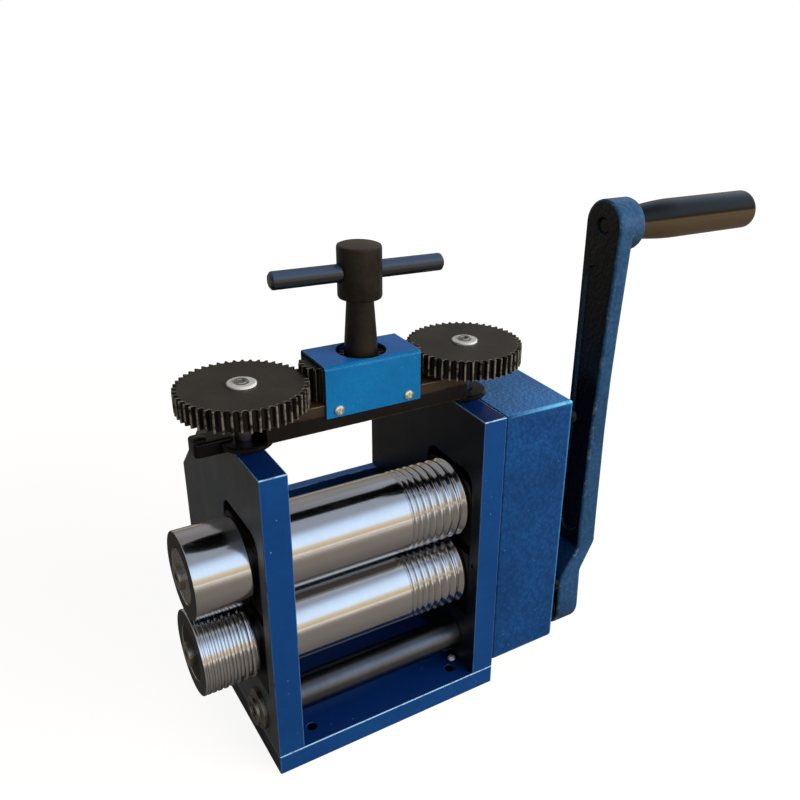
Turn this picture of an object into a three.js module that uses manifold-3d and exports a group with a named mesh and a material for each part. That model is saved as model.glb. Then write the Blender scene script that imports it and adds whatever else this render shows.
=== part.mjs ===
// Jewellers rolling mill: two steel rolls between side plates, pressed together by two screws that a
// T-handle turns through a gear train, and driven by a crank through gears in a casing.
// Units are millimetres. X runs along the rolls, Y to the back, Z up.
// The origin is the middle of the underside of the base plate.

import * as THREE from 'three';
import { mergeVertices } from 'three/addons/utils/BufferGeometryUtils.js';
import Module from 'manifold-3d';

const wasm = await Module();
wasm.setup();

// Frame
const FRAME_WIDTH = 138; // over the outer faces of the side plates
const FRAME_DEPTH = 130;
const FRAME_HEIGHT = 183;
const BASE_THICK = 12.6;
const PLATE_THICK = 14.4;
const TOP_FLAT = 78; // level part of the plate tops, from the front face to the rear chamfer
const TIE_PLATE_THICK = 7;
const TIE_PLATE_TOP = 97.5;
const TIE_ROD_RADIUS = 9.7;
const TIE_ROD_SETBACK = 23.5;
const TIE_ROD_HEIGHT = 29.2;
const TIE_END_RADIUS = 5;
const TIE_BOLT_HEAD_RADIUS = 11.5;
const TIE_BOLT_HEAD_THICK = 5;
const TIE_BOLT_LENGTH = 24;
const MOUNT_HOLE_RADIUS = 2.75;
const MOUNT_HOLE_SPACING = 90.6;
const MOUNT_HOLE_FRONT = 12; // from the front face
const MOUNT_HOLE_REAR = 19; // from the rear face

// Rolls
const ROLL_RADIUS = 23;
const ROLL_SETBACK = 33.3; // from the front face to the plane of the roll axes
const LOWER_AXIS_Z = 73.7;
const REST_NIP = 2; // gap between the rolls as they stand here
const CLOSED_NIP = 0.4; // least gap that the screws leave
const ROLL_END_CLEAR = 0.4;
const ROLL_EDGE = 0.6;
const JOURNAL_RADIUS = 13;
const SPIGOT_RADIUS = 8;
const GEAR_SPIGOT_RADIUS = 9;
const WIRE_GROOVES = 8;
const WIRE_GROOVE_FIRST = 1.9; // width of the narrowest wire groove
const WIRE_GROOVE_STEP = 0.42; // how much wider each next one is
const WIRE_LAND = 1.1;
const WIRE_GROOVE_MARGIN = 1.6; // plain steel between the widest groove and the roll's end
const EXTENSION_LENGTH = 28.3;
const EXTENSION_GAP = 2.5; // between the left side plate and the extension rolls
const ROUND_GROOVES = 8;
const ROUND_GROOVE_FIRST = 1.3;
const ROUND_GROOVE_STEP = 0.27;
const ROUND_LAND = 1.1;
const END_RECESS_RADIUS = 14.6;
const END_RECESS_DEPTH = 3.2;
const END_WASHER_RADIUS = 14.2;
const END_WASHER_THICK = 3;
const END_BOLT = { radius: 3, headRadius: 6.6, headThick: 2.8, length: 16 };

// Bearing blocks in the slots of the side plates
const SLOT_ROLL_CLEAR = 1; // the rolls pass through the slots sideways
const SLOT_CORNER = 9;
const LOWER_BLOCK_DROP = 24; // from the axis down to the slot's sill
const LOWER_BLOCK_RISE = 20.3;
const UPPER_BLOCK_DROP = 21.7;
const UPPER_BLOCK_RISE = 19.3;
const LIFT_ROOM = 5.5; // free height above the upper blocks as they stand here
const SPRING_COIL_RADIUS = 2.8;
const SPRING_WIRE_RADIUS = 0.6;
const SPRING_TURNS = 4;
const SPRING_POCKET_DEPTH = 4.6;
const SPRING_SETBACK = 18.2; // from the roll axis back to the spring

// Pressure screws
const SEAT_RADIUS = 13;
const SEAT_THICK = 6;
const DOWEL_RADIUS = 2;
const DOWEL_LENGTH = 7;
const DOWEL_OFFSET = 9.6; // from the screw axis
const LUG_REACH = 24.7; // from the screw axis out to the end of the left seat's lug
const LUG_DEPTH = 12;
const LUG_THICK = 8.6;
const SCREW_RADIUS = 5;
const SCREW_TOP_RADIUS = 4;

// Gears over the plates, which turn both screws together
const ADJUSTING_TEETH = 48;
const IDLER_TEETH = 17;
const ADJUSTING_GEAR_THICK = 10.8;
const IDLER_THICK = 17;
const IDLER_PIN_RADIUS = 4;
const IDLER_PIN_DEPTH = 10; // in the bridge bar
const GEAR_LIFT = 2.4; // of the adjusting gears over the idlers' underside
const SPINDLE_RADIUS = 5;
const SPINDLE_SCREW = { radius: 2, headRadius: 7, headThick: 2.4, length: 9 };
const BAR_DEPTH = 26;
const BAR_THICK = 14;
const BAR_END_CLEAR = 0.8;
const GEAR_WASHER_RADIUS = 7;
const GEAR_WASHER_THICK = 1.2;
const GEAR_SCREW = { radius: 1.8, headRadius: 3.3, headThick: 1.8, length: 9 };
const COVER_LENGTH = 52.2;
const COVER_SHEET = 1.5;
const COVER_SKIRT = 7; // how far the cover comes down over the bar
const COVER_TOP_CLEAR = 1; // between the idlers' tops and the sheet
const COVER_HOLE_RADIUS = 12.6;
const COVER_SCREW_SPACING = 38.7;
const COVER_SCREW_RISE = 3.6; // from the cover's lower edge up to its screws
const COVER_SCREW_RADIUS = 1.5;
const COVER_SCREW_HEAD_RADIUS = 2.7;
const COVER_SCREW_HEAD_THICK = 1.5;
const COVER_SCREW_LENGTH = 7;

// T-handle
const STEM_FOOT_RADIUS = 8.6;
const STEM_NECK_RADIUS = 6.7;
const STEM_HEIGHT = 29.4;
const HEAD_RADIUS = 10.9;
const HEAD_HEIGHT = 26;
const HEAD_EDGE = 1;
const STEM_SOCKET_DEPTH = 12;
const TBAR_RADIUS = 4.4;
const TBAR_LENGTH = 89;
const TBAR_TURN = -3; // degrees about the upright, as it stands here

// Drive in the casing
const CASING_DEPTH = 46.4; // along X
const CASING_WALL = 3;
const CASING_BOTTOM_Z = 17;
const ROLL_GEAR_TEETH = 16;
const ROLL_GEAR_THICK = 14;
const ROLL_GEAR_ADDENDUM = 1.15; // long teeth, so that they stay in mesh as the rolls part
const ROLL_GEAR_GAP = 3.3; // between the plate and the roll gears
const DRIVE_MODULE = 1.5;
const MAIN_TEETH = 36;
const TRANSFER_TEETH = 16;
const CRANK_TEETH = 13;
const DRIVE_GEAR_THICK = 10;
const DRIVE_GEAR_GAP = 3.7; // between the roll gears and the drive gears
const SPIGOT_PROUD = 1.5; // of the gears on the rolls
const MAIN_HUB_RADIUS = 12;
const CRANK_SETBACK = 16;
const CRANK_AXIS_Z = 33;
const CRANK_SHAFT_RADIUS = 7;
const CRANK_SQUARE = 11.4; // across the flats of the shaft's squared end
const BUSH_WALL = 3;
const BUSH_FLANGE_RADIUS = 14;
const BUSH_FLANGE_THICK = 3;
const BUSH_BOSS_WALL = 3;
const TRANSFER_PIN_RADIUS = 5;
const TRANSFER_SPACER_RADIUS = 8;
const TRANSFER_HUB_RADIUS = 7;
const PIN_SEAT_DEPTH = 8;
const CASING_SCREW = { radius: 2.5, headRadius: 4.4, headThick: 3, seat: 7 };
const CASING_PILLAR_RADIUS = 4.6;
const CASING_SCREW_TOP = 12; // from the casing's top corner
const CASING_SCREW_FRONT_Z = 54;
const CASING_SCREW_REAR_Z = 30;
const CASING_SCREW_CHAMFER = 10; // below the chamfer's lower end

// Crank
const CRANK_LENGTH = 244; // between the hub and grip axes
const CRANK_LEAN = 1.3; // degrees towards the front, as it stands here
const HUB_RADIUS = 15.6;
const HUB_THICK = 17;
const HUB_GAP = 0.6; // between the bush flange and the hub
const ARM_OFFSET = 13.3; // the joggle, from the hub's inner face to the arm's
const ARM_WAIST = 11.4; // half width of the arm at its narrowest
const ARM_SWELL = 1.2; // how much wider it is on each side towards the boss
const ARM_FOOT_THICK = 13.7;
const ARM_THICK = 10.4;
const JOGGLE_START = 25; // along the arm from the hub axis
const JOGGLE_END = 45;
const BOSS_RADIUS = 14;
const BOSS_THICK = 18.2;
const BOSS_RECESS_RADIUS = 5;
const BOSS_RECESS_DEPTH = 2;
const CRANK_SCREW = { radius: 3, headRadius: 9.5, headThick: 3, length: 14 };
const GRIP_SPINDLE_RADIUS = 4;
const GRIP_COLLAR_RADIUS = 7;
const GRIP_COLLAR_THICK = 3;
const GRIP_LENGTH = 90.5;
const GRIP_NECK_RADIUS = 9;
const GRIP_RADIUS = 10.9;
const GRIP_TAPER = 28; // length over which the grip swells from its neck
const GRIP_ROUND = 4;
const RIVET_RADIUS = 6;
const RIVET_THICK = 2.5;
const RIVET_SINK = 4; // of the rivet in the grip's end

// Clearances
const RUNNING = 0.3; // radial, of every shaft, screw and pin in its hole, and of gears on their faces
const BLOCK_SIDE_CLEAR = 0.3;
const THREAD_ROOM = 1; // beyond the end of each screw
const BACKLASH = 0.2;
const ROLL_GEAR_BACKLASH = 0.4;
const PRESSURE_ANGLE = THREE.MathUtils.degToRad(20);

// Places that follow from the sizes
const frontY = -FRAME_DEPTH / 2;
const rearY = FRAME_DEPTH / 2;
const chamfer = FRAME_DEPTH - TOP_FLAT;
const plateOuterX = FRAME_WIDTH / 2;
const plateInnerX = plateOuterX - PLATE_THICK;
const screwX = plateOuterX - PLATE_THICK / 2;
const rollY = frontY + ROLL_SETBACK;
const upperAxisZ = LOWER_AXIS_Z + 2 * ROLL_RADIUS + REST_NIP;
const slotHalf = ROLL_RADIUS + SLOT_ROLL_CLEAR;
const slotBottomZ = LOWER_AXIS_Z - LOWER_BLOCK_DROP;
const upperBlockTopZ = upperAxisZ + UPPER_BLOCK_RISE;
const slotTopZ = upperBlockTopZ + LIFT_ROOM;
const tieRodY = frontY + TIE_ROD_SETBACK;
const barBottomZ = FRAME_HEIGHT + SEAT_THICK;
const barTopZ = barBottomZ + BAR_THICK;
const idlerZ = barTopZ + RUNNING;
const idlerTopZ = idlerZ + IDLER_THICK;
const trainModule = (2 * screwX) / (3 * IDLER_TEETH + ADJUSTING_TEETH);
const idlerX = trainModule * IDLER_TEETH;
const adjustingZ = idlerZ + GEAR_LIFT;
const adjustingTopZ = adjustingZ + ADJUSTING_GEAR_THICK;
const coverBottomZ = barTopZ - COVER_SKIRT;
const coverTopZ = idlerTopZ + COVER_TOP_CLEAR + COVER_SHEET;
const coverOuterY = BAR_DEPTH / 2 + COVER_SHEET;
const rollEndX = plateInnerX - ROLL_END_CLEAR;
const rollGearX = plateOuterX + ROLL_GEAR_GAP;
const rollGearOutX = rollGearX + ROLL_GEAR_THICK;
const driveGearX = rollGearOutX + DRIVE_GEAR_GAP;
const driveGearOutX = driveGearX + DRIVE_GEAR_THICK;
const casingOuterX = plateOuterX + CASING_DEPTH;
const casingInnerX = casingOuterX - CASING_WALL;
const bushInnerX = driveGearOutX + RUNNING;
const crankY = frontY + CRANK_SETBACK;
const hubX = casingOuterX + BUSH_FLANGE_THICK + HUB_GAP;
const hubOuterX = hubX + HUB_THICK;
const armX = hubX + ARM_OFFSET;
const bossOuterX = armX + BOSS_THICK;
const crankLean = THREE.MathUtils.degToRad(CRANK_LEAN);

// The transfer gear meshes with the crank pinion and the main gear, behind the line between them.
const driveRadius = (teeth) => (DRIVE_MODULE * teeth) / 2;
const crankAxis = new THREE.Vector2(crankY, CRANK_AXIS_Z);
const lowerAxis = new THREE.Vector2(rollY, LOWER_AXIS_Z);
const transferAxis = meetingPoint(
  crankAxis,
  driveRadius(CRANK_TEETH) + driveRadius(TRANSFER_TEETH),
  lowerAxis,
  driveRadius(TRANSFER_TEETH) + driveRadius(MAIN_TEETH),
);

/** Point at distance a from p and b from q, on the right of the way from p to q. */
function meetingPoint(p, a, q, b) {
  const along = q.clone().sub(p);
  const span = along.length();
  along.normalize();
  const foot = (a * a - b * b + span * span) / (2 * span);
  const height = Math.sqrt(a * a - foot * foot);
  const right = new THREE.Vector2(along.y, -along.x);
  return p.clone().addScaledVector(along, foot).addScaledVector(right, height);
}

// Finishes
const finish = (color, roughness, metalness) =>
  new THREE.MeshStandardMaterial({ color, roughness, metalness });
const bluePaint = finish('#12487e', 0.45, 0.1);
const coverPaint = finish('#167ab8', 0.45, 0.1);
const hammeredPaint = finish('#144a80', 0.55, 0.1);
const polishedSteel = finish('#c9c6c0', 0.18, 1);
const groundSteel = finish('#8e8a84', 0.35, 1);
const blackOxide = finish('#2c2825', 0.45, 0.8);
const brightNickel = finish('#cfcdc6', 0.28, 1);
const bronze = finish('#a07a3c', 0.4, 1);
const springSteel = finish('#77777a', 0.4, 1);
const glossyBlack = finish('#0c0c0e', 0.15, 0);

// Geometry helpers

/** Keeps positions only, joins equal vertices, drops empty triangles and turns the faces outward. */
function clean(geometry) {
  const bare = new THREE.BufferGeometry();
  bare.setAttribute('position', geometry.getAttribute('position').clone());
  if (geometry.index) bare.setIndex(geometry.index.clone());
  const joined = mergeVertices(bare, 1e-4);
  const place = joined.getAttribute('position');
  const [a, b, c] = [new THREE.Vector3(), new THREE.Vector3(), new THREE.Vector3()];
  const corners = [];
  let volume = 0;
  for (let i = 0; i < joined.index.count; i += 3) {
    const [p, q, r] = [0, 1, 2].map((step) => joined.index.getX(i + step));
    if (p === q || q === r || r === p) continue;
    corners.push([p, q, r]);
    a.fromBufferAttribute(place, p);
    b.fromBufferAttribute(place, q);
    c.fromBufferAttribute(place, r);
    volume += a.dot(b.cross(c));
  }
  joined.setIndex(corners.flatMap(([p, q, r]) => (volume < 0 ? [p, r, q] : [p, q, r])));
  return joined;
}

/** Closed mesh as a solid that can be joined and cut. */
function toSolid(geometry) {
  const ready = clean(geometry);
  return new wasm.Manifold(new wasm.Mesh({
    numProp: 3,
    vertProperties: new Float32Array(ready.getAttribute('position').array),
    triVerts: new Uint32Array(ready.index.array),
  }));
}

/** Solid back as a mesh's geometry. */
function toGeometry(solid) {
  const mesh = solid.getMesh();
  const geometry = new THREE.BufferGeometry();
  geometry.setAttribute('position', new THREE.BufferAttribute(mesh.vertProperties, 3));
  geometry.setIndex(new THREE.BufferAttribute(mesh.triVerts, 1));
  return geometry;
}

/** Body less each of the tools. */
const cut = (body, ...tools) =>
  toGeometry(tools.reduce((left, tool) => left.subtract(toSolid(tool)), toSolid(body)));

/** Body joined with each of the others. */
const fuse = (body, ...others) =>
  toGeometry(others.reduce((sum, other) => sum.add(toSolid(other)), toSolid(body)));

/** What two bodies have in common. */
const common = (body, other) => toGeometry(toSolid(body).intersect(toSolid(other)));

/** Number of flats around a circle of a given radius. */
function flats(radius) {
  if (radius < 6) return 12;
  return radius < 13 ? 16 : 24;
}

/** Turned piece about the upright: profile is a list of [radius, height]. */
function turned(profile) {
  const points = profile.map(([r, h]) => new THREE.Vector2(r, h));
  const widest = Math.max(...profile.map(([r]) => r));
  return new THREE.LatheGeometry(points, flats(widest)).rotateX(Math.PI / 2);
}

/** The same about the X axis: profile is a list of [radius, x]. */
const turnedX = (profile) => turned(profile).rotateY(Math.PI / 2);

/** Round bar about the upright from z0 to z1. */
const rod = (radius, z0, z1) => turned([[0, z0], [radius, z0], [radius, z1], [0, z1]]);

/** Round bar about the X axis from x0 to x1. */
const rodX = (radius, x0, x1) => rod(radius, x0, x1).rotateY(Math.PI / 2);

/** Profile of a ring from h0 to h1. */
const ring = (bore, radius, h0, h1) =>
  [[bore, h0], [radius, h0], [radius, h1], [bore, h1], [bore, h0]];

/** Profile of a socket head screw that bears at height 0, with its head above. */
function screwProfile({ radius, headRadius, headThick, length }) {
  const edge = headThick * 0.25;
  const socket = radius * 0.85;
  const depth = headThick * 0.6;
  return [
    [0, -length], [radius, -length], [radius, 0], [headRadius, 0], [headRadius, headThick - edge],
    [headRadius - edge, headThick], [socket, headThick], [socket, headThick - depth],
    [0, headThick - depth],
  ];
}

/** Extrusion of an outline upward from z0 to z1. */
function slabZ(shape, z0, z1, curveSegments = 3) {
  const options = { depth: z1 - z0, bevelEnabled: false, curveSegments };
  return new THREE.ExtrudeGeometry(shape, options).translate(0, 0, z0);
}

/** Outline given as (y, z), extruded along X from x0 to x1. */
function slabX(shape, x0, x1, curveSegments = 3) {
  const axes = new THREE.Matrix4().makeBasis(
    new THREE.Vector3(0, 1, 0), new THREE.Vector3(0, 0, 1), new THREE.Vector3(1, 0, 0));
  return slabZ(shape, x0, x1, curveSegments).applyMatrix4(axes);
}

/** Outline given as (x, z), extruded along Y from y0 to y1. */
const slabY = (shape, y0, y1) => slabZ(shape, -y1, -y0).rotateX(Math.PI / 2);

/** Polygon outline. */
const outline = (corners) => new THREE.Shape(corners.map(([u, v]) => new THREE.Vector2(u, v)));

/** Rectangle outline from its two corners. */
const rectangle = (u0, v0, u1, v1) => outline([[u0, v0], [u1, v0], [u1, v1], [u0, v1]]);

/** Points around a circle. */
function circle(u, v, radius, count = flats(radius)) {
  return Array.from({ length: count }, (_, i) => {
    const angle = (2 * Math.PI * i) / count;
    return new THREE.Vector2(u + radius * Math.cos(angle), v + radius * Math.sin(angle));
  });
}

/** Round hole for an outline. */
const hole = (u, v, radius) => new THREE.Path(circle(u, v, radius));

/** Convex outline moved inward by a wall, for the hollow of a casing. */
function inset(corners, wall) {
  const count = corners.length;
  const edges = corners.map(([u, v], i) => {
    const [nextU, nextV] = corners[(i + 1) % count];
    const length = Math.hypot(nextU - u, nextV - v);
    const [a, b] = [(v - nextV) / length, (nextU - u) / length];
    return { a, b, offset: a * u + b * v + wall };
  });
  return edges.map((edge, i) => {
    const last = edges[(i + count - 1) % count];
    const det = last.a * edge.b - last.b * edge.a;
    return [
      (last.offset * edge.b - edge.offset * last.b) / det,
      (last.a * edge.offset - edge.a * last.offset) / det,
    ];
  });
}

/** Gear outline with one tooth centred on the angle toothAt. */
function gearOutline({ module, teeth, toothAt, bore, backlash = BACKLASH, addendum = 1 }) {
  const pitch = (module * teeth) / 2;
  const base = pitch * Math.cos(PRESSURE_ANGLE);
  const tip = pitch + addendum * module;
  const root = pitch - (addendum + 0.25) * module;
  const involute = (angle) => Math.tan(angle) - angle;
  const halfTooth = (radius) => {
    const flank = Math.acos(base / Math.max(radius, base));
    const halfAtPitch = Math.PI / (2 * teeth) - backlash / (2 * pitch);
    return halfAtPitch + involute(PRESSURE_ANGLE) - involute(flank);
  };
  const radii = teeth < 30 ? [root, pitch, tip] : [root, tip];
  const points = [];
  for (let tooth = 0; tooth < teeth; tooth += 1) {
    const middle = toothAt + (2 * Math.PI * tooth) / teeth;
    const rising = radii.map((radius) => [radius, middle - halfTooth(radius)]);
    const falling = radii.map((radius) => [radius, middle + halfTooth(radius)]).reverse();
    points.push(...rising, ...falling);
  }
  const shape = outline(points.map(([r, angle]) => [r * Math.cos(angle), r * Math.sin(angle)]));
  if (bore) shape.holes.push(hole(0, 0, bore));
  return shape;
}

/** Tooth angle of a gear that meshes with a given one, whose centre lies in a given direction from it. */
const matingTooth = (direction, toothAt, teeth, matingTeeth) =>
  direction + Math.PI - ((toothAt - direction) * teeth) / matingTeeth + Math.PI / matingTeeth;

/** Adds a named piece to a group. */
function piece(group, name, geometry, material, [x, y, z] = [0, 0, 0]) {
  const mesh = new THREE.Mesh(clean(geometry), material);
  mesh.name = name;
  mesh.position.set(x, y, z);
  group.add(mesh);
}

const sides = [['left', -1], ['right', 1]];

// Base, side plates and what ties them together

/** Corners of the plates' and the casing's outline as (y, z), from the given bottom up. */
const profileCorners = (bottomZ) => [
  [frontY, bottomZ], [rearY, bottomZ], [rearY, FRAME_HEIGHT - chamfer],
  [rearY - chamfer, FRAME_HEIGHT], [frontY, FRAME_HEIGHT],
];

/** Side plate outline with its bearing slot and the hole of the tie rod. */
function plateOutline() {
  const shape = outline(profileCorners(BASE_THICK));
  const [front, rear] = [rollY - slotHalf, rollY + slotHalf];
  const arcZ = slotTopZ - SLOT_CORNER;
  const slot = new THREE.Path();
  slot.moveTo(front, slotBottomZ);
  slot.lineTo(rear, slotBottomZ);
  slot.absarc(rear - SLOT_CORNER, arcZ, SLOT_CORNER, 0, Math.PI / 2);
  slot.absarc(front + SLOT_CORNER, arcZ, SLOT_CORNER, Math.PI / 2, Math.PI);
  slot.closePath();
  shape.holes.push(slot, hole(tieRodY, TIE_ROD_HEIGHT, TIE_END_RADIUS + RUNNING));
  return shape;
}

/** Centres of the casing screws as (y, z), with their names. */
function casingScrewPlaces() {
  const webY = (frontY + rollY - slotHalf) / 2;
  return [
    ['upper_front', webY, FRAME_HEIGHT - CASING_SCREW_TOP],
    ['lower_front', webY, CASING_SCREW_FRONT_Z],
    ['upper_rear', -webY, FRAME_HEIGHT - chamfer - CASING_SCREW_CHAMFER],
    ['lower_rear', -webY, CASING_SCREW_REAR_Z],
  ];
}

function addBase(group) {
  const holeX = MOUNT_HOLE_SPACING / 2;
  const shape = rectangle(-plateOuterX, frontY, plateOuterX, rearY);
  for (const x of [-holeX, holeX]) {
    for (const y of [frontY + MOUNT_HOLE_FRONT, rearY - MOUNT_HOLE_REAR]) {
      shape.holes.push(hole(x, y, MOUNT_HOLE_RADIUS));
    }
  }
  piece(group, 'base_plate', slabZ(shape, 0, BASE_THICK), bluePaint);
}

function addSidePlates(group) {
  const slab = slabX(plateOutline(), -PLATE_THICK / 2, PLATE_THICK / 2);
  const screwBore = rod(SCREW_RADIUS + RUNNING, slotTopZ - 1, FRAME_HEIGHT + 1);
  const dowelHole = rod(DOWEL_RADIUS + RUNNING, FRAME_HEIGHT - DOWEL_LENGTH - 1, FRAME_HEIGHT + 1)
    .translate(0, DOWEL_OFFSET, 0);
  const plain = cut(slab, ...[screwBore, dowelHole].map((bore) => bore.translate(0, rollY, 0)));
  const face = PLATE_THICK / 2;
  const screwHoles = casingScrewPlaces().map(([, y, z]) =>
    rodX(CASING_SCREW.radius + RUNNING, face - CASING_SCREW.seat - THREAD_ROOM, face + 1)
      .translate(0, y, z));
  const pinHole = rodX(TRANSFER_PIN_RADIUS + RUNNING, face - PIN_SEAT_DEPTH - RUNNING, face + 1)
    .translate(0, transferAxis.x, transferAxis.y);
  piece(group, 'left_side_plate', plain, bluePaint, [-screwX, 0, 0]);
  piece(group, 'right_side_plate', cut(plain, pinHole, ...screwHoles), bluePaint, [screwX, 0, 0]);
}

function addTies(group) {
  const plate = rectangle(-plateInnerX, BASE_THICK, plateInnerX, TIE_PLATE_TOP);
  piece(group, 'rear_tie_plate', slabY(plate, rearY - TIE_PLATE_THICK, rearY), bluePaint);

  const at = [0, tieRodY, TIE_ROD_HEIGHT];
  const boltHole = TIE_END_RADIUS + RUNNING;
  const boltTip = -plateOuterX + TIE_BOLT_LENGTH;
  const rodProfile = [
    [0, boltTip + THREAD_ROOM], [boltHole, boltTip + THREAD_ROOM], [boltHole, -plateInnerX],
    [TIE_ROD_RADIUS, -plateInnerX], [TIE_ROD_RADIUS, plateInnerX], [TIE_END_RADIUS, plateInnerX],
    [TIE_END_RADIUS, plateOuterX], [0, plateOuterX],
  ];
  piece(group, 'front_tie_rod', turnedX(rodProfile), groundSteel, at);

  const headX = -plateOuterX - TIE_BOLT_HEAD_THICK;
  const ridge = TIE_BOLT_HEAD_RADIUS * 0.72;
  const boltProfile = [
    [0, headX + 1.6], [ridge * 0.6, headX + 1.6], [ridge * 0.6, headX], [ridge, headX],
    [ridge, headX + 1], [TIE_BOLT_HEAD_RADIUS - 1, headX + 1], [TIE_BOLT_HEAD_RADIUS, headX + 2],
    [TIE_BOLT_HEAD_RADIUS, -plateOuterX], [TIE_END_RADIUS, -plateOuterX], [TIE_END_RADIUS, boltTip],
    [0, boltTip],
  ];
  piece(group, 'tie_bolt', turnedX(boltProfile), groundSteel, at);
}

// Bearing blocks and lift springs

const springPocket = (z0, z1) =>
  rod(SPRING_COIL_RADIUS + SPRING_WIRE_RADIUS + RUNNING, z0, z1).translate(0, SPRING_SETBACK, 0);

function lowerBlock() {
  const half = slotHalf - BLOCK_SIDE_CLEAR;
  const shape = rectangle(-half, -LOWER_BLOCK_DROP, half, LOWER_BLOCK_RISE);
  shape.holes.push(hole(0, 0, JOURNAL_RADIUS + RUNNING));
  const block = slabX(shape, -PLATE_THICK / 2, PLATE_THICK / 2);
  return cut(block, springPocket(LOWER_BLOCK_RISE - SPRING_POCKET_DEPTH, LOWER_BLOCK_RISE + 1));
}

function upperBlock() {
  const half = slotHalf - BLOCK_SIDE_CLEAR;
  const corner = SLOT_CORNER - BLOCK_SIDE_CLEAR;
  const shape = new THREE.Shape();
  shape.moveTo(-half, -UPPER_BLOCK_DROP);
  shape.lineTo(half, -UPPER_BLOCK_DROP);
  shape.absarc(half - corner, UPPER_BLOCK_RISE - corner, corner, 0, Math.PI / 2);
  shape.absarc(corner - half, UPPER_BLOCK_RISE - corner, corner, Math.PI / 2, Math.PI);
  shape.closePath();
  shape.holes.push(hole(0, 0, JOURNAL_RADIUS + RUNNING));
  const block = slabX(shape, -PLATE_THICK / 2, PLATE_THICK / 2);
  return cut(block, springPocket(-UPPER_BLOCK_DROP - 1, SPRING_POCKET_DEPTH - UPPER_BLOCK_DROP));
}

/** Centre line of an open coil spring that stands on z = 0. */
class Helix extends THREE.Curve {
  constructor(radius, height, turns) {
    super();
    Object.assign(this, { radius, height, turns });
  }

  getPoint(t, target = new THREE.Vector3()) {
    const angle = 2 * Math.PI * this.turns * t;
    return target.set(
      this.radius * Math.cos(angle), this.radius * Math.sin(angle), this.height * t);
  }
}

/** Least gap between the coils of a spring, measured on points that are over half a turn apart. */
function leastGap(helix, wireRadius) {
  const points = helix.getPoints(helix.turns * 24);
  let least = Infinity;
  points.forEach((p, i) => {
    for (const q of points.slice(i + 12)) least = Math.min(least, p.distanceTo(q));
  });
  return least - 2 * wireRadius;
}

function liftSpring() {
  const opening = upperAxisZ - UPPER_BLOCK_DROP - LOWER_AXIS_Z - LOWER_BLOCK_RISE;
  const room = opening + 2 * (SPRING_POCKET_DEPTH - RUNNING);
  const helix = new Helix(SPRING_COIL_RADIUS, room - 2 * SPRING_WIRE_RADIUS, SPRING_TURNS);
  console.log(`lift spring: least gap to itself ${leastGap(helix, SPRING_WIRE_RADIUS).toFixed(2)} mm`);
  return new THREE.ExtrudeGeometry(new THREE.Shape(circle(0, 0, SPRING_WIRE_RADIUS, 5)), {
    steps: SPRING_TURNS * 8,
    bevelEnabled: false,
    extrudePath: helix,
  });
}

function addBearings(group) {
  const pocketFloorZ = LOWER_AXIS_Z + LOWER_BLOCK_RISE - SPRING_POCKET_DEPTH;
  const springZ = pocketFloorZ + RUNNING + SPRING_WIRE_RADIUS;
  const spring = liftSpring();
  for (const [side, sign] of sides) {
    const x = sign * screwX;
    piece(group, `lower_bearing_${side}`, lowerBlock(), bronze, [x, rollY, LOWER_AXIS_Z]);
    piece(group, `upper_bearing_${side}`, upperBlock(), bronze, [x, rollY, upperAxisZ]);
    piece(group, `lift_spring_${side}`, spring, springSteel, [x, rollY + SPRING_SETBACK, springZ]);
  }
}

// Rolls

/** Profile points of V grooves for wire, widening towards the roll's right end. */
function wireGrooves() {
  const points = [];
  let x = rollEndX - WIRE_GROOVE_MARGIN;
  for (let i = WIRE_GROOVES - 1; i >= 0; i -= 1) {
    const width = WIRE_GROOVE_FIRST + i * WIRE_GROOVE_STEP;
    const bottom = ROLL_RADIUS - width / 2;
    points.unshift([ROLL_RADIUS, x - width], [bottom, x - width / 2], [ROLL_RADIUS, x]);
    x -= width + WIRE_LAND;
  }
  return points;
}

/** Profile points of half-round grooves, widening inward from the extension roll's outer end. */
function roundGrooves(outerX) {
  const points = [];
  let x = outerX + ROUND_LAND;
  for (let i = 0; i < ROUND_GROOVES; i += 1) {
    const half = (ROUND_GROOVE_FIRST + i * ROUND_GROOVE_STEP) / 2;
    for (const step of [0, 1, 2, 3]) {
      const angle = (Math.PI * step) / 3;
      points.push([ROLL_RADIUS - half * Math.sin(angle), x + half * (1 - Math.cos(angle))]);
    }
    x += 2 * half + ROUND_LAND;
  }
  return points;
}

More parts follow.
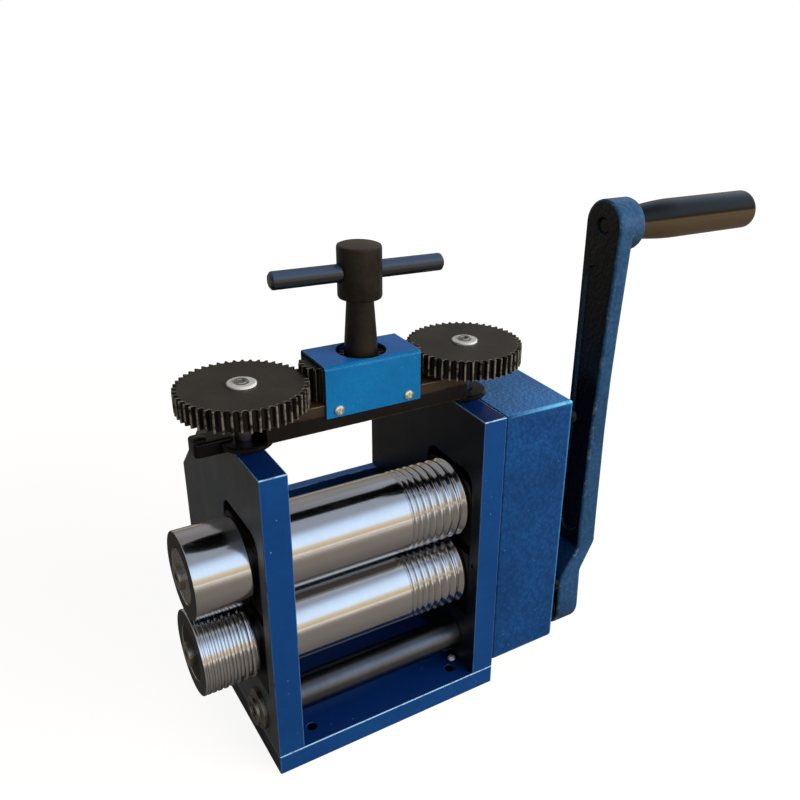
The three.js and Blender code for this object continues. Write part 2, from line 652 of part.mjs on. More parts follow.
/** Roll with its extension roll on the left and a spigot for gears on the right. */
function addRoll(group, level, axisZ, spigotOutX) {
  const at = [0, rollY, axisZ];
  const innerX = -plateOuterX - EXTENSION_GAP;
  const outerX = innerX - EXTENSION_LENGTH;
  const floorX = outerX + END_RECESS_DEPTH;
  const washerX = floorX - END_WASHER_THICK;
  const boltTip = washerX + END_BOLT.length;
  const boltHole = END_BOLT.radius + RUNNING;
  const edge = ROLL_RADIUS - ROLL_EDGE;
  const rollProfile = [
    [0, boltTip + THREAD_ROOM], [boltHole, boltTip + THREAD_ROOM], [boltHole, floorX + RUNNING],
    [SPIGOT_RADIUS, floorX + RUNNING], [SPIGOT_RADIUS, innerX], [JOURNAL_RADIUS, innerX],
    [JOURNAL_RADIUS, -rollEndX], [edge, -rollEndX], [ROLL_RADIUS, ROLL_EDGE - rollEndX],
    ...wireGrooves(), [ROLL_RADIUS, rollEndX - ROLL_EDGE], [edge, rollEndX],
    [JOURNAL_RADIUS, rollEndX], [JOURNAL_RADIUS, rollGearX], [GEAR_SPIGOT_RADIUS, rollGearX],
    [GEAR_SPIGOT_RADIUS, spigotOutX], [0, spigotOutX],
  ];
  piece(group, `${level}_roll`, turnedX(rollProfile), polishedSteel, at);

  const bore = SPIGOT_RADIUS + RUNNING;
  const grooves = level === 'lower' ? roundGrooves(outerX) : [];
  const extensionProfile = [
    [bore, innerX], [bore, floorX], [END_RECESS_RADIUS, floorX], [END_RECESS_RADIUS, outerX],
    [edge, outerX], [ROLL_RADIUS, outerX + ROLL_EDGE], ...grooves, [ROLL_RADIUS, innerX - ROLL_EDGE],
    [edge, innerX], [bore, innerX],
  ];
  piece(group, `${level}_extension_roll`, turnedX(extensionProfile), polishedSteel, at);

  const washer = turnedX(ring(boltHole, END_WASHER_RADIUS, washerX, floorX));
  piece(group, `${level}_end_washer`, washer, groundSteel, at);
  const bolt = turned(screwProfile(END_BOLT)).rotateY(-Math.PI / 2).translate(washerX, 0, 0);
  piece(group, `${level}_end_bolt`, bolt, brightNickel, at);
}

/** Gear that makes the rolls turn together. Its teeth bottom as the rolls close. */
function addRollGear(group, level, axisZ, toothAt) {
  const shape = gearOutline({
    module: (2 * ROLL_RADIUS + CLOSED_NIP) / ROLL_GEAR_TEETH,
    teeth: ROLL_GEAR_TEETH,
    toothAt,
    bore: GEAR_SPIGOT_RADIUS + RUNNING,
    backlash: ROLL_GEAR_BACKLASH,
    addendum: ROLL_GEAR_ADDENDUM,
  });
  const gear = slabX(shape, rollGearX, rollGearOutX);
  piece(group, `${level}_roll_gear`, gear, groundSteel, [0, rollY, axisZ]);
}

// Seats of the pressure screws and the bridge bar between them

/** Where the bar's dowel stands on a seat, from the screw axis. */
const barDowelX = (sign) => -sign * DOWEL_OFFSET;

function addSeats(group) {
  const bore = SCREW_RADIUS + RUNNING;
  const edge = SEAT_THICK * 0.13;
  for (const [side, sign] of sides) {
    const disc = turned([
      [bore, 0], [SEAT_RADIUS, 0], [SEAT_RADIUS, SEAT_THICK - edge], [SEAT_RADIUS - edge, SEAT_THICK],
      [bore, SEAT_THICK], [bore, 0],
    ]);
    const extras = [
      rod(DOWEL_RADIUS, -DOWEL_LENGTH, 1).translate(0, DOWEL_OFFSET, 0),
      rod(DOWEL_RADIUS, SEAT_THICK - 1, SEAT_THICK + DOWEL_LENGTH).translate(barDowelX(sign), 0, 0),
    ];
    if (side === 'left') {
      extras.push(slabZ(rectangle(-LUG_REACH, 0, -bore - 1, LUG_DEPTH), 0, LUG_THICK));
    }
    const seat = fuse(disc, ...extras);
    piece(group, `screw_seat_${side}`, seat, blackOxide, [sign * screwX, rollY, FRAME_HEIGHT]);
  }
}

/** Names of the cover screws with their centres as (x, z) and the way that they face. */
function coverScrewPlaces() {
  const z = coverBottomZ + COVER_SCREW_RISE;
  const ends = [['front', -1], ['rear', 1]];
  return sides.flatMap(([side, sign]) => ends.map(([end, facing]) => (
    { name: `cover_screw_${end}_${side}`, facing, x: (sign * COVER_SCREW_SPACING) / 2, z })));
}

/** Hole for a cover screw, from outside the cover down to the screw's thread room. */
function coverScrewHole({ facing, x, z }) {
  return rod(COVER_SCREW_RADIUS + RUNNING, -COVER_SCREW_LENGTH - THREAD_ROOM, 1)
    .rotateX((-facing * Math.PI) / 2)
    .translate(x, facing * coverOuterY, z);
}

function addBridge(group) {
  const halfLength = screwX - SCREW_RADIUS - BAR_END_CLEAR;
  const shape = rectangle(-halfLength, -BAR_DEPTH / 2, halfLength, BAR_DEPTH / 2);
  shape.holes.push(hole(0, 0, SPINDLE_RADIUS + RUNNING));
  const pinFloorZ = barTopZ - IDLER_PIN_DEPTH;
  const dowelTopZ = barBottomZ + DOWEL_LENGTH + THREAD_ROOM;
  const sinkZ = barBottomZ + SPINDLE_SCREW.headThick + 2 * RUNNING;
  const tools = coverScrewPlaces().map(coverScrewHole);
  tools.push(rod(SPINDLE_SCREW.headRadius + RUNNING, barBottomZ - 1, sinkZ));
  for (const [, sign] of sides) {
    const dowelX = sign * screwX + barDowelX(sign);
    tools.push(
      rod(IDLER_PIN_RADIUS + RUNNING, pinFloorZ, barTopZ + 1).translate(sign * idlerX, 0, 0),
      rod(DOWEL_RADIUS + RUNNING, barBottomZ - 1, dowelTopZ).translate(dowelX, 0, 0),
    );
  }
  const bar = cut(slabZ(shape, barBottomZ, barTopZ), ...tools);
  piece(group, 'bridge_bar', bar, blackOxide, [0, rollY, 0]);

  const pin = rod(IDLER_PIN_RADIUS, pinFloorZ, idlerTopZ + RUNNING);
  for (const [side, sign] of sides) {
    piece(group, `idler_pin_${side}`, pin, groundSteel, [sign * idlerX, rollY, 0]);
  }
}

function addCover(group) {
  const inner = BAR_DEPTH / 2;
  const shape = outline([
    [-coverOuterY, coverBottomZ], [-inner, coverBottomZ], [-inner, coverTopZ - COVER_SHEET],
    [inner, coverTopZ - COVER_SHEET], [inner, coverBottomZ], [coverOuterY, coverBottomZ],
    [coverOuterY, coverTopZ], [-coverOuterY, coverTopZ],
  ]);
  const sheet = slabX(shape, -COVER_LENGTH / 2, COVER_LENGTH / 2);
  const handleHole = rod(COVER_HOLE_RADIUS, idlerTopZ + COVER_TOP_CLEAR / 2, coverTopZ + 1);
  const cover = cut(sheet, handleHole, ...coverScrewPlaces().map(coverScrewHole));
  piece(group, 'gear_cover', cover, coverPaint, [0, rollY, 0]);

  const dome = COVER_SCREW_HEAD_THICK;
  const head = COVER_SCREW_HEAD_RADIUS;
  const profile = [
    [0, -COVER_SCREW_LENGTH], [COVER_SCREW_RADIUS, -COVER_SCREW_LENGTH], [COVER_SCREW_RADIUS, 0],
    [head, 0], [head * 0.85, dome * 0.7], [head * 0.5, dome], [0, dome],
  ];
  for (const { name, facing, x, z } of coverScrewPlaces()) {
    const screw = turned(profile).rotateX((-facing * Math.PI) / 2);
    piece(group, name, screw, brightNickel, [x, rollY + facing * coverOuterY, z]);
  }
}

// Gear train over the plates

/** Direction of a side's gears as seen from the spindle. */
const sideDirection = (sign) => (sign > 0 ? 0 : Math.PI);
const spindleToothAt = Math.PI / 2;
const idlerToothAt = (sign) =>
  matingTooth(sideDirection(sign), spindleToothAt, IDLER_TEETH, IDLER_TEETH);
const adjustingToothAt = (sign) =>
  matingTooth(sideDirection(sign), idlerToothAt(sign), IDLER_TEETH, ADJUSTING_TEETH);
const trainGear = (teeth, toothAt, bore) => gearOutline({ module: trainModule, teeth, toothAt, bore });

function addIdler(group, side, sign) {
  const shape = trainGear(IDLER_TEETH, idlerToothAt(sign), IDLER_PIN_RADIUS + RUNNING);
  const gear = slabZ(shape, idlerZ, idlerTopZ);
  piece(group, `idler_gear_${side}`, gear, blackOxide, [sign * idlerX, rollY, 0]);
}

function addPressureScrew(group, side, sign) {
  const at = [sign * screwX, rollY, 0];
  const footZ = upperBlockTopZ + RUNNING;
  const topZ = adjustingTopZ - RUNNING;
  const washerTopZ = adjustingTopZ + GEAR_WASHER_THICK;
  const screwHole = GEAR_SCREW.radius + RUNNING;
  const holeZ = washerTopZ - GEAR_SCREW.length - THREAD_ROOM;
  const screw = turned([
    [0, footZ], [SCREW_RADIUS - 1, footZ], [SCREW_RADIUS, footZ + 1], [SCREW_RADIUS, adjustingZ],
    [SCREW_TOP_RADIUS, adjustingZ], [SCREW_TOP_RADIUS, topZ], [screwHole, topZ], [screwHole, holeZ],
    [0, holeZ],
  ]);
  piece(group, `pressure_screw_${side}`, screw, groundSteel, at);

  const shape = trainGear(ADJUSTING_TEETH, adjustingToothAt(sign), SCREW_TOP_RADIUS + RUNNING);
  piece(group, `adjusting_gear_${side}`, slabZ(shape, adjustingZ, adjustingTopZ), blackOxide, at);
  const washer = turned(ring(screwHole, GEAR_WASHER_RADIUS, adjustingTopZ, washerTopZ));
  piece(group, `gear_washer_${side}`, washer, brightNickel, at);
  const gearScrew = turned(screwProfile(GEAR_SCREW)).translate(0, 0, washerTopZ);
  piece(group, `gear_screw_${side}`, gearScrew, brightNickel, at);
}

function addSpindle(group) {
  const at = [0, rollY, 0];
  const shoulderZ = barBottomZ + SPINDLE_SCREW.headThick + RUNNING;
  const footZ = idlerTopZ + RUNNING;
  const socketTopZ = footZ + STEM_SOCKET_DEPTH;
  const screwHole = SPINDLE_SCREW.radius + RUNNING;
  const pinion = cut(
    fuse(
      slabZ(trainGear(IDLER_TEETH, spindleToothAt), idlerZ, footZ),
      rod(SPINDLE_RADIUS, shoulderZ, socketTopZ - RUNNING),
    ),
    rod(screwHole, shoulderZ - 1, shoulderZ + SPINDLE_SCREW.length + THREAD_ROOM),
  );
  piece(group, 'spindle_pinion', pinion, groundSteel, at);
  const screw = turned(screwProfile(SPINDLE_SCREW)).rotateX(Math.PI).translate(0, 0, shoulderZ);
  piece(group, 'spindle_screw', screw, groundSteel, at);

  const neckZ = footZ + STEM_HEIGHT;
  const headTopZ = neckZ + HEAD_HEIGHT;
  const barZ = neckZ + HEAD_HEIGHT / 2;
  const socket = SPINDLE_RADIUS + RUNNING;
  const stem = turned([
    [0, socketTopZ], [socket, socketTopZ], [socket, footZ], [STEM_FOOT_RADIUS, footZ],
    [STEM_NECK_RADIUS, neckZ], [HEAD_RADIUS - HEAD_EDGE, neckZ], [HEAD_RADIUS, neckZ + HEAD_EDGE],
    [HEAD_RADIUS, headTopZ - HEAD_EDGE], [HEAD_RADIUS - HEAD_EDGE, headTopZ], [0, headTopZ],
  ]);
  const turn = THREE.MathUtils.degToRad(TBAR_TURN);
  const barHole = rodX(TBAR_RADIUS + RUNNING, -HEAD_RADIUS - 1, HEAD_RADIUS + 1)
    .rotateZ(turn)
    .translate(0, 0, barZ);
  piece(group, 't_handle_stem', cut(stem, barHole), blackOxide, at);

  const half = TBAR_LENGTH / 2;
  const round = TBAR_RADIUS * 0.35;
  const bar = turnedX([
    [0, -half], [TBAR_RADIUS - round, -half], [TBAR_RADIUS, round - half], [TBAR_RADIUS, half - round],
    [TBAR_RADIUS - round, half], [0, half],
  ]);
  piece(group, 't_handle_bar', bar.rotateZ(turn), glossyBlack, [0, rollY, barZ]);
}

// Gear casing and the drive inside it

function addCasing(group) {
  const corners = profileCorners(CASING_BOTTOM_Z);
  const bore = CRANK_SHAFT_RADIUS + RUNNING;
  const bushRadius = bore + BUSH_WALL;
  const seatRadius = bushRadius + RUNNING;
  const shell = cut(
    slabX(outline(corners), plateOuterX, casingOuterX),
    slabX(outline(inset(corners, CASING_WALL)), plateOuterX - 1, casingInnerX),
  );
  const boss = rodX(seatRadius + BUSH_BOSS_WALL, bushInnerX + RUNNING, casingInnerX + 1)
    .translate(0, crankY, CRANK_AXIS_Z);
  const pillars = casingScrewPlaces().map(([, y, z]) =>
    rodX(CASING_PILLAR_RADIUS, plateOuterX, casingInnerX + 1).translate(0, y, z));
  const seatHole = rodX(seatRadius, bushInnerX - 1, casingOuterX + 1).translate(0, crankY, CRANK_AXIS_Z);
  const screwHoles = casingScrewPlaces().map(([, y, z]) =>
    rodX(CASING_SCREW.radius + RUNNING, plateOuterX - 1, casingOuterX + 1).translate(0, y, z));
  const casing = cut(fuse(shell, boss, ...pillars), seatHole, ...screwHoles);
  piece(group, 'gear_casing', casing, hammeredPaint);

  const screw = { ...CASING_SCREW, length: CASING_DEPTH + CASING_SCREW.seat };
  for (const [place, y, z] of casingScrewPlaces()) {
    const geometry = turnedX(screwProfile(screw)).translate(casingOuterX, 0, 0);
    piece(group, `casing_screw_${place}`, geometry, blackOxide, [0, y, z]);
  }

  const bush = turnedX([
    [bore, bushInnerX], [bushRadius, bushInnerX], [bushRadius, casingOuterX],
    [BUSH_FLANGE_RADIUS, casingOuterX], [BUSH_FLANGE_RADIUS, casingOuterX + BUSH_FLANGE_THICK],
    [bore, casingOuterX + BUSH_FLANGE_THICK], [bore, bushInnerX],
  ]);
  piece(group, 'crank_bush', bush, bronze, [0, crankY, CRANK_AXIS_Z]);

  const seatX = plateOuterX - PIN_SEAT_DEPTH;
  const shoulderX = driveGearX - RUNNING;
  const pinEndX = casingInnerX - RUNNING;
  const pin = turnedX([
    [0, seatX], [TRANSFER_PIN_RADIUS, seatX], [TRANSFER_PIN_RADIUS, plateOuterX],
    [TRANSFER_SPACER_RADIUS, plateOuterX], [TRANSFER_SPACER_RADIUS, shoulderX],
    [TRANSFER_PIN_RADIUS, shoulderX], [TRANSFER_PIN_RADIUS, pinEndX], [0, pinEndX],
  ]);
  piece(group, 'transfer_pin', pin, groundSteel, [0, transferAxis.x, transferAxis.y]);
}

// Teeth of the drive train, from the main gear out to the crank pinion
const directionOf = (from, to) => to.clone().sub(from).angle();
const mainToothAt = Math.PI / 2;
const transferToothAt =
  matingTooth(directionOf(lowerAxis, transferAxis), mainToothAt, MAIN_TEETH, TRANSFER_TEETH);
const crankToothAt =
  matingTooth(directionOf(transferAxis, crankAxis), transferToothAt, TRANSFER_TEETH, CRANK_TEETH);

/** Drive gear at its place along X. */
const driveGear = (teeth, toothAt, bore) =>
  slabX(gearOutline({ module: DRIVE_MODULE, teeth, toothAt, bore }), driveGearX, driveGearOutX);

function addMainGear(group) {
  const bore = GEAR_SPIGOT_RADIUS + RUNNING;
  const hub = turnedX(ring(bore, MAIN_HUB_RADIUS, rollGearOutX, driveGearX + 1));
  const gear = fuse(driveGear(MAIN_TEETH, mainToothAt, bore), hub);
  piece(group, 'main_gear', gear, groundSteel, [0, rollY, LOWER_AXIS_Z]);
}

function addTransferGear(group) {
  const bore = TRANSFER_PIN_RADIUS + RUNNING;
  const hub = turnedX(ring(bore, TRANSFER_HUB_RADIUS, driveGearOutX - 1, casingInnerX - 2 * RUNNING));
  const gear = fuse(driveGear(TRANSFER_TEETH, transferToothAt, bore), hub);
  piece(group, 'transfer_gear', gear, groundSteel, [0, transferAxis.x, transferAxis.y]);
}

// Crank, drawn about the shaft's axis with its arm upright

/** Squared end of a round bar along X. */
function squared(radius, acrossFlats, x0, x1) {
  const half = acrossFlats / 2;
  return common(rodX(radius, x0, x1), slabX(rectangle(-half, -half, half, half), x0, x1));
}

function crankArm() {
  const width = [
    [ARM_WAIST + ARM_SWELL / 2, CRANK_LENGTH * 0.25], [ARM_WAIST, CRANK_LENGTH * 0.5],
    [ARM_WAIST + ARM_SWELL, CRANK_LENGTH * 0.78],
  ];
  const front = new THREE.Shape();
  front.absarc(0, 0, HUB_RADIUS, Math.PI, 2 * Math.PI);
  for (const [half, along] of width) front.lineTo(half, along);
  front.absarc(0, CRANK_LENGTH, BOSS_RADIUS, 0, Math.PI);
  for (const [half, along] of width.toReversed()) front.lineTo(-half, along);
  front.closePath();
  const bottom = -HUB_RADIUS - 1;
  const top = CRANK_LENGTH + BOSS_RADIUS + 1;
  const footX = armX + ARM_FOOT_THICK;
  const side = outline([
    [hubX, bottom], [hubOuterX, bottom], [hubOuterX, JOGGLE_START + 2], [footX, JOGGLE_END],
    [footX, CRANK_LENGTH * 0.25], [armX + ARM_THICK, CRANK_LENGTH * 0.65], [armX + ARM_THICK, top],
    [armX, top], [armX, JOGGLE_END], [hubX, JOGGLE_START - 2],
  ]);
  const reach = HUB_RADIUS + BOSS_RADIUS;
  const arm = common(slabX(front, hubX - 1, bossOuterX, 5), slabY(side, -reach, reach));
  const boss = rodX(BOSS_RADIUS, armX + ARM_THICK / 2, bossOuterX).translate(0, 0, CRANK_LENGTH);
  const square = squared(
    CRANK_SHAFT_RADIUS + RUNNING, CRANK_SQUARE + 2 * RUNNING, hubX - 1, hubOuterX + 1);
  const spindleBore = rodX(GRIP_SPINDLE_RADIUS + RUNNING, armX - 1, bossOuterX + 1);
  const recess = rodX(BOSS_RECESS_RADIUS, armX - 1, armX + BOSS_RECESS_DEPTH);
  const bores = [spindleBore, recess].map((bore) => bore.translate(0, 0, CRANK_LENGTH));
  return cut(fuse(arm, boss), square, ...bores);
}

function crankShaft() {
  const endX = hubOuterX - RUNNING;
  const screwTip = hubOuterX - CRANK_SCREW.length - THREAD_ROOM;
  const shape = gearOutline({
    module: DRIVE_MODULE, teeth: CRANK_TEETH, toothAt: crankToothAt - crankLean,
  });
  const shaft = fuse(
    rodX(CRANK_SHAFT_RADIUS, driveGearX - RUNNING, hubX),
    squared(CRANK_SHAFT_RADIUS, CRANK_SQUARE, hubX - 1, endX),
    slabX(shape, driveGearX, driveGearOutX),
  );
  return cut(shaft, rodX(CRANK_SCREW.radius + RUNNING, screwTip, hubOuterX));
}

function gripSpindle(collarX, gripX, rivetX) {
  const startX = armX + BOSS_RECESS_DEPTH;
  return turnedX([
    [0, startX], [GRIP_SPINDLE_RADIUS, startX], [GRIP_SPINDLE_RADIUS, collarX],
    [GRIP_COLLAR_RADIUS, collarX], [GRIP_COLLAR_RADIUS, gripX - RUNNING],
    [GRIP_SPINDLE_RADIUS, gripX - RUNNING], [GRIP_SPINDLE_RADIUS, rivetX], [RIVET_RADIUS, rivetX],
    [RIVET_RADIUS * 0.8, rivetX + RIVET_THICK], [0, rivetX + RIVET_THICK],
  ]);
}

function gripHandle(gripX, sinkX) {
  const endX = gripX + GRIP_LENGTH;
  const bore = GRIP_SPINDLE_RADIUS + RUNNING;
  const sink = RIVET_RADIUS + RUNNING;
  const middle = GRIP_NECK_RADIUS + (GRIP_RADIUS - GRIP_NECK_RADIUS) * 0.65;
  const round = GRIP_ROUND * 0.3;
  return turnedX([
    [bore, gripX], [GRIP_NECK_RADIUS - 1, gripX], [GRIP_NECK_RADIUS, gripX + 1],
    [middle, gripX + GRIP_TAPER * 0.45], [GRIP_RADIUS, gripX + GRIP_TAPER],
    [GRIP_RADIUS, endX - GRIP_ROUND], [GRIP_RADIUS - round, endX - round],
    [GRIP_RADIUS - GRIP_ROUND, endX], [sink, endX], [sink, sinkX], [bore, sinkX], [bore, gripX],
  ]);
}

function addCrank(group) {
  const collarX = bossOuterX;
  const gripX = collarX + GRIP_COLLAR_THICK + RUNNING;
  const sinkX = gripX + GRIP_LENGTH - RIVET_SINK;
  const screw = turnedX(screwProfile(CRANK_SCREW)).translate(hubOuterX, 0, 0);
  const spindle = gripSpindle(collarX, gripX, sinkX + RUNNING);
  piece(group, 'crank_shaft', crankShaft(), groundSteel);
  piece(group, 'crank_arm', crankArm(), hammeredPaint);
  piece(group, 'crank_screw', screw, brightNickel);
  piece(group, 'grip_spindle', spindle, blackOxide, [0, 0, CRANK_LENGTH]);
  piece(group, 'grip', gripHandle(gripX, sinkX), glossyBlack, [0, 0, CRANK_LENGTH]);
}

// Assembly
const mill = new THREE.Group();
addBase(mill);
addSidePlates(mill);
addTies(mill);
addBearings(mill);
addRoll(mill, 'upper', upperAxisZ, rollGearOutX + SPIGOT_PROUD);
addRollGear(mill, 'upper', upperAxisZ, -Math.PI / 2);
addRoll(mill, 'lower', LOWER_AXIS_Z, driveGearOutX + SPIGOT_PROUD);
addRollGear(mill, 'lower', LOWER_AXIS_Z, Math.PI / 2 + Math.PI / ROLL_GEAR_TEETH);
addMainGear(mill);
addTransferGear(mill);
addSeats(mill);
addBridge(mill);
addCover(mill);
for (const [side, sign] of sides) {
  addPressureScrew(mill, side, sign);
  addIdler(mill, side, sign);
}
addSpindle(mill);
addCasing(mill);

const crank = new THREE.Group();
crank.position.set(0, crankY, CRANK_AXIS_Z);
crank.rotation.x = crankLean;
addCrank(crank);
mill.add(crank);

export default mill;
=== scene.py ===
"""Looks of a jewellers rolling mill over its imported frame.

Sizes are in millimetres and are turned into metres as a mesh is made. X runs along the
rolls, Y to the back and Z up, from the middle of the underside of the base plate.
"""

import logging
import math
from collections.abc import Callable, Iterable
from dataclasses import dataclass, field, replace
from enum import Enum
from typing import Any

import bmesh
import bpy
from mathutils import Matrix, Vector
from mathutils.geometry import tessellate_polygon


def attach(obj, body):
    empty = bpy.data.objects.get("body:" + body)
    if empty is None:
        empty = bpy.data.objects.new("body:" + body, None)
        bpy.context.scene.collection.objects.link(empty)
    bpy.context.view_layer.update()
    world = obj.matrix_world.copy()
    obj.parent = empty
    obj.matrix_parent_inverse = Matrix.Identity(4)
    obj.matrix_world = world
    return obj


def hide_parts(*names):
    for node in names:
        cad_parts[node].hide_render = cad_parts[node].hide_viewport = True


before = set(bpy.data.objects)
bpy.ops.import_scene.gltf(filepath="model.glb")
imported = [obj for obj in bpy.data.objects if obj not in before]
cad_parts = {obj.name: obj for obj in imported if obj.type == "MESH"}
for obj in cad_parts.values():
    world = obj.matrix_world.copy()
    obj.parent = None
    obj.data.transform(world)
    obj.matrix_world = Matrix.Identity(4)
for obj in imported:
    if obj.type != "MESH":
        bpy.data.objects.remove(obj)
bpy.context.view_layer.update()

log = logging.getLogger("rolling_mill")

MM = 0.001
EDGE_MARK = "edge"  # attribute that holds how much a point is an edge
SHARP = 38.0  # degrees between faces from which their edge stays sharp
TINY = 1e-6

Point2 = tuple[float, float]
Triple = tuple[float, float, float]
Colour = tuple[float, float, float, float]
Outline = list[Point2]
Socket = bpy.types.NodeSocket


class Axis(Enum):
    """World axis that a turned or sawn piece is drawn along."""

    X = "x"
    Y = "y"
    Z = "z"


class Side(Enum):
    """Left and right half of the mill, with the sign of their X."""

    LEFT = -1
    RIGHT = 1

    @property
    def word(self) -> str:
        """Name of the side as it is used in node names."""
        return self.name.lower()


# ------------------------------------------------------------------ outlines and forms


def soften(points: Outline, radius: float, closed: bool = True, steps: int = 3) -> Outline:
    """Rounds the corners of a line of points.

    Args:
        points: Corners in order.
        radius: Radius of each corner, in millimetres.
        closed: Whether the last point joins the first.
        steps: Short edges that each corner is made of.

    Returns:
        Points of the softened line.
    """
    least_turn = 20.0
    longest_share = 0.45
    result: Outline = []
    count = len(points)
    for i, (x, y) in enumerate(points):
        here = Vector((x, y))
        before = Vector(points[i - 1]) - here
        after = Vector(points[(i + 1) % count]) - here
        is_end = not closed and i in (0, count - 1)
        if is_end or before.length < TINY or after.length < TINY:
            result.append((x, y))
            continue
        turn = math.pi - before.angle(after)
        if math.degrees(turn) < least_turn:
            result.append((x, y))
            continue
        longest = (longest_share * before.length, longest_share * after.length)
        reach = min(radius * math.tan(turn / 2), *longest)
        start = here + before.normalized() * reach
        end = here + after.normalized() * reach
        for k in range(steps + 1):
            t = k / steps
            bend = start * (1 - t) ** 2 + here * (2 * t * (1 - t)) + end * t**2
            result.append((bend.x, bend.y))
    return result


def circle(u: float, v: float, radius: float, count: int) -> Outline:
    """Points around a circle about (u, v), anticlockwise."""
    turn = 2 * math.pi / count
    return [(u + radius * math.cos(turn * i), v + radius * math.sin(turn * i)) for i in range(count)]


def rectangle(u0: float, v0: float, u1: float, v1: float) -> Outline:
    """Corners of a rectangle, anticlockwise."""
    return [(u0, v0), (u1, v0), (u1, v1), (u0, v1)]


def arc(u: float, v: float, radius: float, start: float, end: float, count: int) -> Outline:
    """Points of an arc about (u, v) from one angle to another, in degrees."""
    angles = [math.radians(start + (end - start) * i / count) for i in range(count + 1)]
    return [(u + radius * math.cos(a), v + radius * math.sin(a)) for a in angles]


def area(points: Outline) -> float:
    """Signed area of an outline, positive if it runs anticlockwise."""
    pairs = zip(points, points[1:] + points[:1])
    return sum(a[0] * b[1] - b[0] * a[1] for a, b in pairs) / 2


def steps_at(points: Outline, i: int) -> tuple[float, float, float, float]:
    """Steps of a closed line at one of its points.

    Args:
        points: Points in order.
        i: Number of the point.

    Returns:
        Both parts of the step to the point, and both of the step on from it.
    """
    x, y = points[i]
    x1, y1 = points[(i + 1) % len(points)]
    return x - points[i - 1][0], y - points[i - 1][1], x1 - x, y1 - y


def offset(points: Outline, distance: float) -> Outline:
    """Outline moved to the left of its direction, with mitred corners.

    Args:
        points: Closed outline.
        distance: How far it moves, in millimetres.

    Returns:
        As many points as before.
    """
    sharpest = 0.8
    result: Outline = []
    for i, (x, y) in enumerate(points):
        ax, ay, bx, by = steps_at(points, i)
        a_len, b_len = math.hypot(ax, ay) or 1.0, math.hypot(bx, by) or 1.0
        nx, ny = -ay / a_len - by / b_len, ax / a_len + bx / b_len
        square = max(nx * nx + ny * ny, sharpest)
        result.append((x + 2 * distance * nx / square, y + 2 * distance * ny / square))
    return result


def convex(points: Outline, closed: bool, near: float) -> list[float]:
    """Marks the points in the middle of an outline's rounded or narrow outer corners.

    Args:
        points: Points in order, anticlockwise.
        closed: Whether the last point joins the first.
        near: Longest edge that belongs to a rounded corner, in millimetres.

    Returns:
        1 for a point on a rounded outer corner and 0 for any other.
    """
    least_bend = 0.2
    marks = []
    for i in range(len(points)):
        ax, ay, bx, by = steps_at(points, i)
        a_len, b_len = math.hypot(ax, ay), math.hypot(bx, by)
        is_end = not closed and i in (0, len(points) - 1)
        is_bent = ax * by - ay * bx > least_bend * a_len * b_len
        marks.append(float(is_bent and not is_end and a_len < near and b_len < near))
    return marks


def rounding(edge: float, steps: int) -> Outline:
    """Inset and rise of each ring of a rounded edge, from the flat face to the side."""
    angles = [math.pi / 2 * k / steps for k in range(steps + 1)] if edge > 0 else [math.pi / 2]
    return [(edge * (1 - math.sin(t)), edge * (1 - math.cos(t))) for t in angles]


@dataclass
class Form:
    """Points and faces of one piece while it is being built, in millimetres.

    Each point has a mark of how much it is an edge, for the finishes' rubbed edges and painted edge highlights.
    """

    points: list[Vector] = field(default_factory=list)
    edges: list[float] = field(default_factory=list)
    faces: list[tuple[int, ...]] = field(default_factory=list)

    def add(self, points: Iterable[Vector], edges: Iterable[float] = ()) -> list[int]:
        """Adds points.

        Args:
            points: The points.
            edges: Their marks, 0 for those that have none.

        Returns:
            Their numbers.
        """
        start = len(self.points)
        self.points.extend(points)
        self.edges.extend(edges)
        self.edges.extend([0.0] * (len(self.points) - len(self.edges)))
        return list(range(start, len(self.points)))

    def strip(self, low: list[int], high: list[int]) -> None:
        """Adds the faces between two rings of points.

        Args:
            low: Numbers of the first ring's points, which may be one point over and over.
            high: Numbers of the second ring's points, as many.
        """
        for i, a in enumerate(low):
            j = (i + 1) % len(low)
            face = tuple(dict.fromkeys((a, low[j], high[j], high[i])))
            if len(face) > 2:
                self.faces.append(face)

    def join(self, other: "Form") -> "Form":
        """Adds another form.

        Args:
            other: The form that is added.

        Returns:
            This form.
        """
        numbers = self.add(other.points, other.edges)
        self.faces.extend(tuple(numbers[i] for i in face) for face in other.faces)
        return self

    def placed(self, matrix: Matrix) -> "Form":
        """Copy of the form moved by a matrix."""
        return Form([matrix @ point for point in self.points], self.edges[:], self.faces[:])

    def moved(self, x: float = 0, y: float = 0, z: float = 0) -> "Form":
        """Copy of the form at another place."""
        return self.placed(Matrix.Translation((x, y, z)))

    def turned(self, degrees: float, axis: Axis) -> "Form":
        """Copy of the form turned about a world axis."""
        return self.placed(Matrix.Rotation(math.radians(degrees), 4, axis.name))

    def mesh(self, name: str, sharp: float = SHARP) -> bpy.types.Mesh:
        """Makes the mesh in metres, with its faces outward and smooth up to an angle.

        Args:
            name: Name of the mesh.
            sharp: Angle between faces, in degrees, from which their edge stays sharp.

        Returns:
            The new mesh.
        """
        data = bpy.data.meshes.new(name)
        data.from_pydata([p * MM for p in self.points], [], self.faces)
        marks = data.attributes.new(EDGE_MARK, "FLOAT", "POINT")
        marks.data.foreach_set("value", self.edges)
        work = bmesh.new()
        work.from_mesh(data)
        bmesh.ops.remove_doubles(work, verts=work.verts, dist=2e-7)
        bmesh.ops.dissolve_degenerate(work, edges=work.edges, dist=1e-8)
        bmesh.ops.recalc_face_normals(work, faces=work.faces)
        work.to_mesh(data)
        work.free()
        smooth(data, sharp)
        return data


def smooth(mesh: bpy.types.Mesh, sharp: float) -> None:
    """Shades a mesh smooth, with sharp edges from an angle in degrees."""
    mesh.shade_smooth()
    mesh.set_sharp_from_angle(angle=math.radians(sharp))


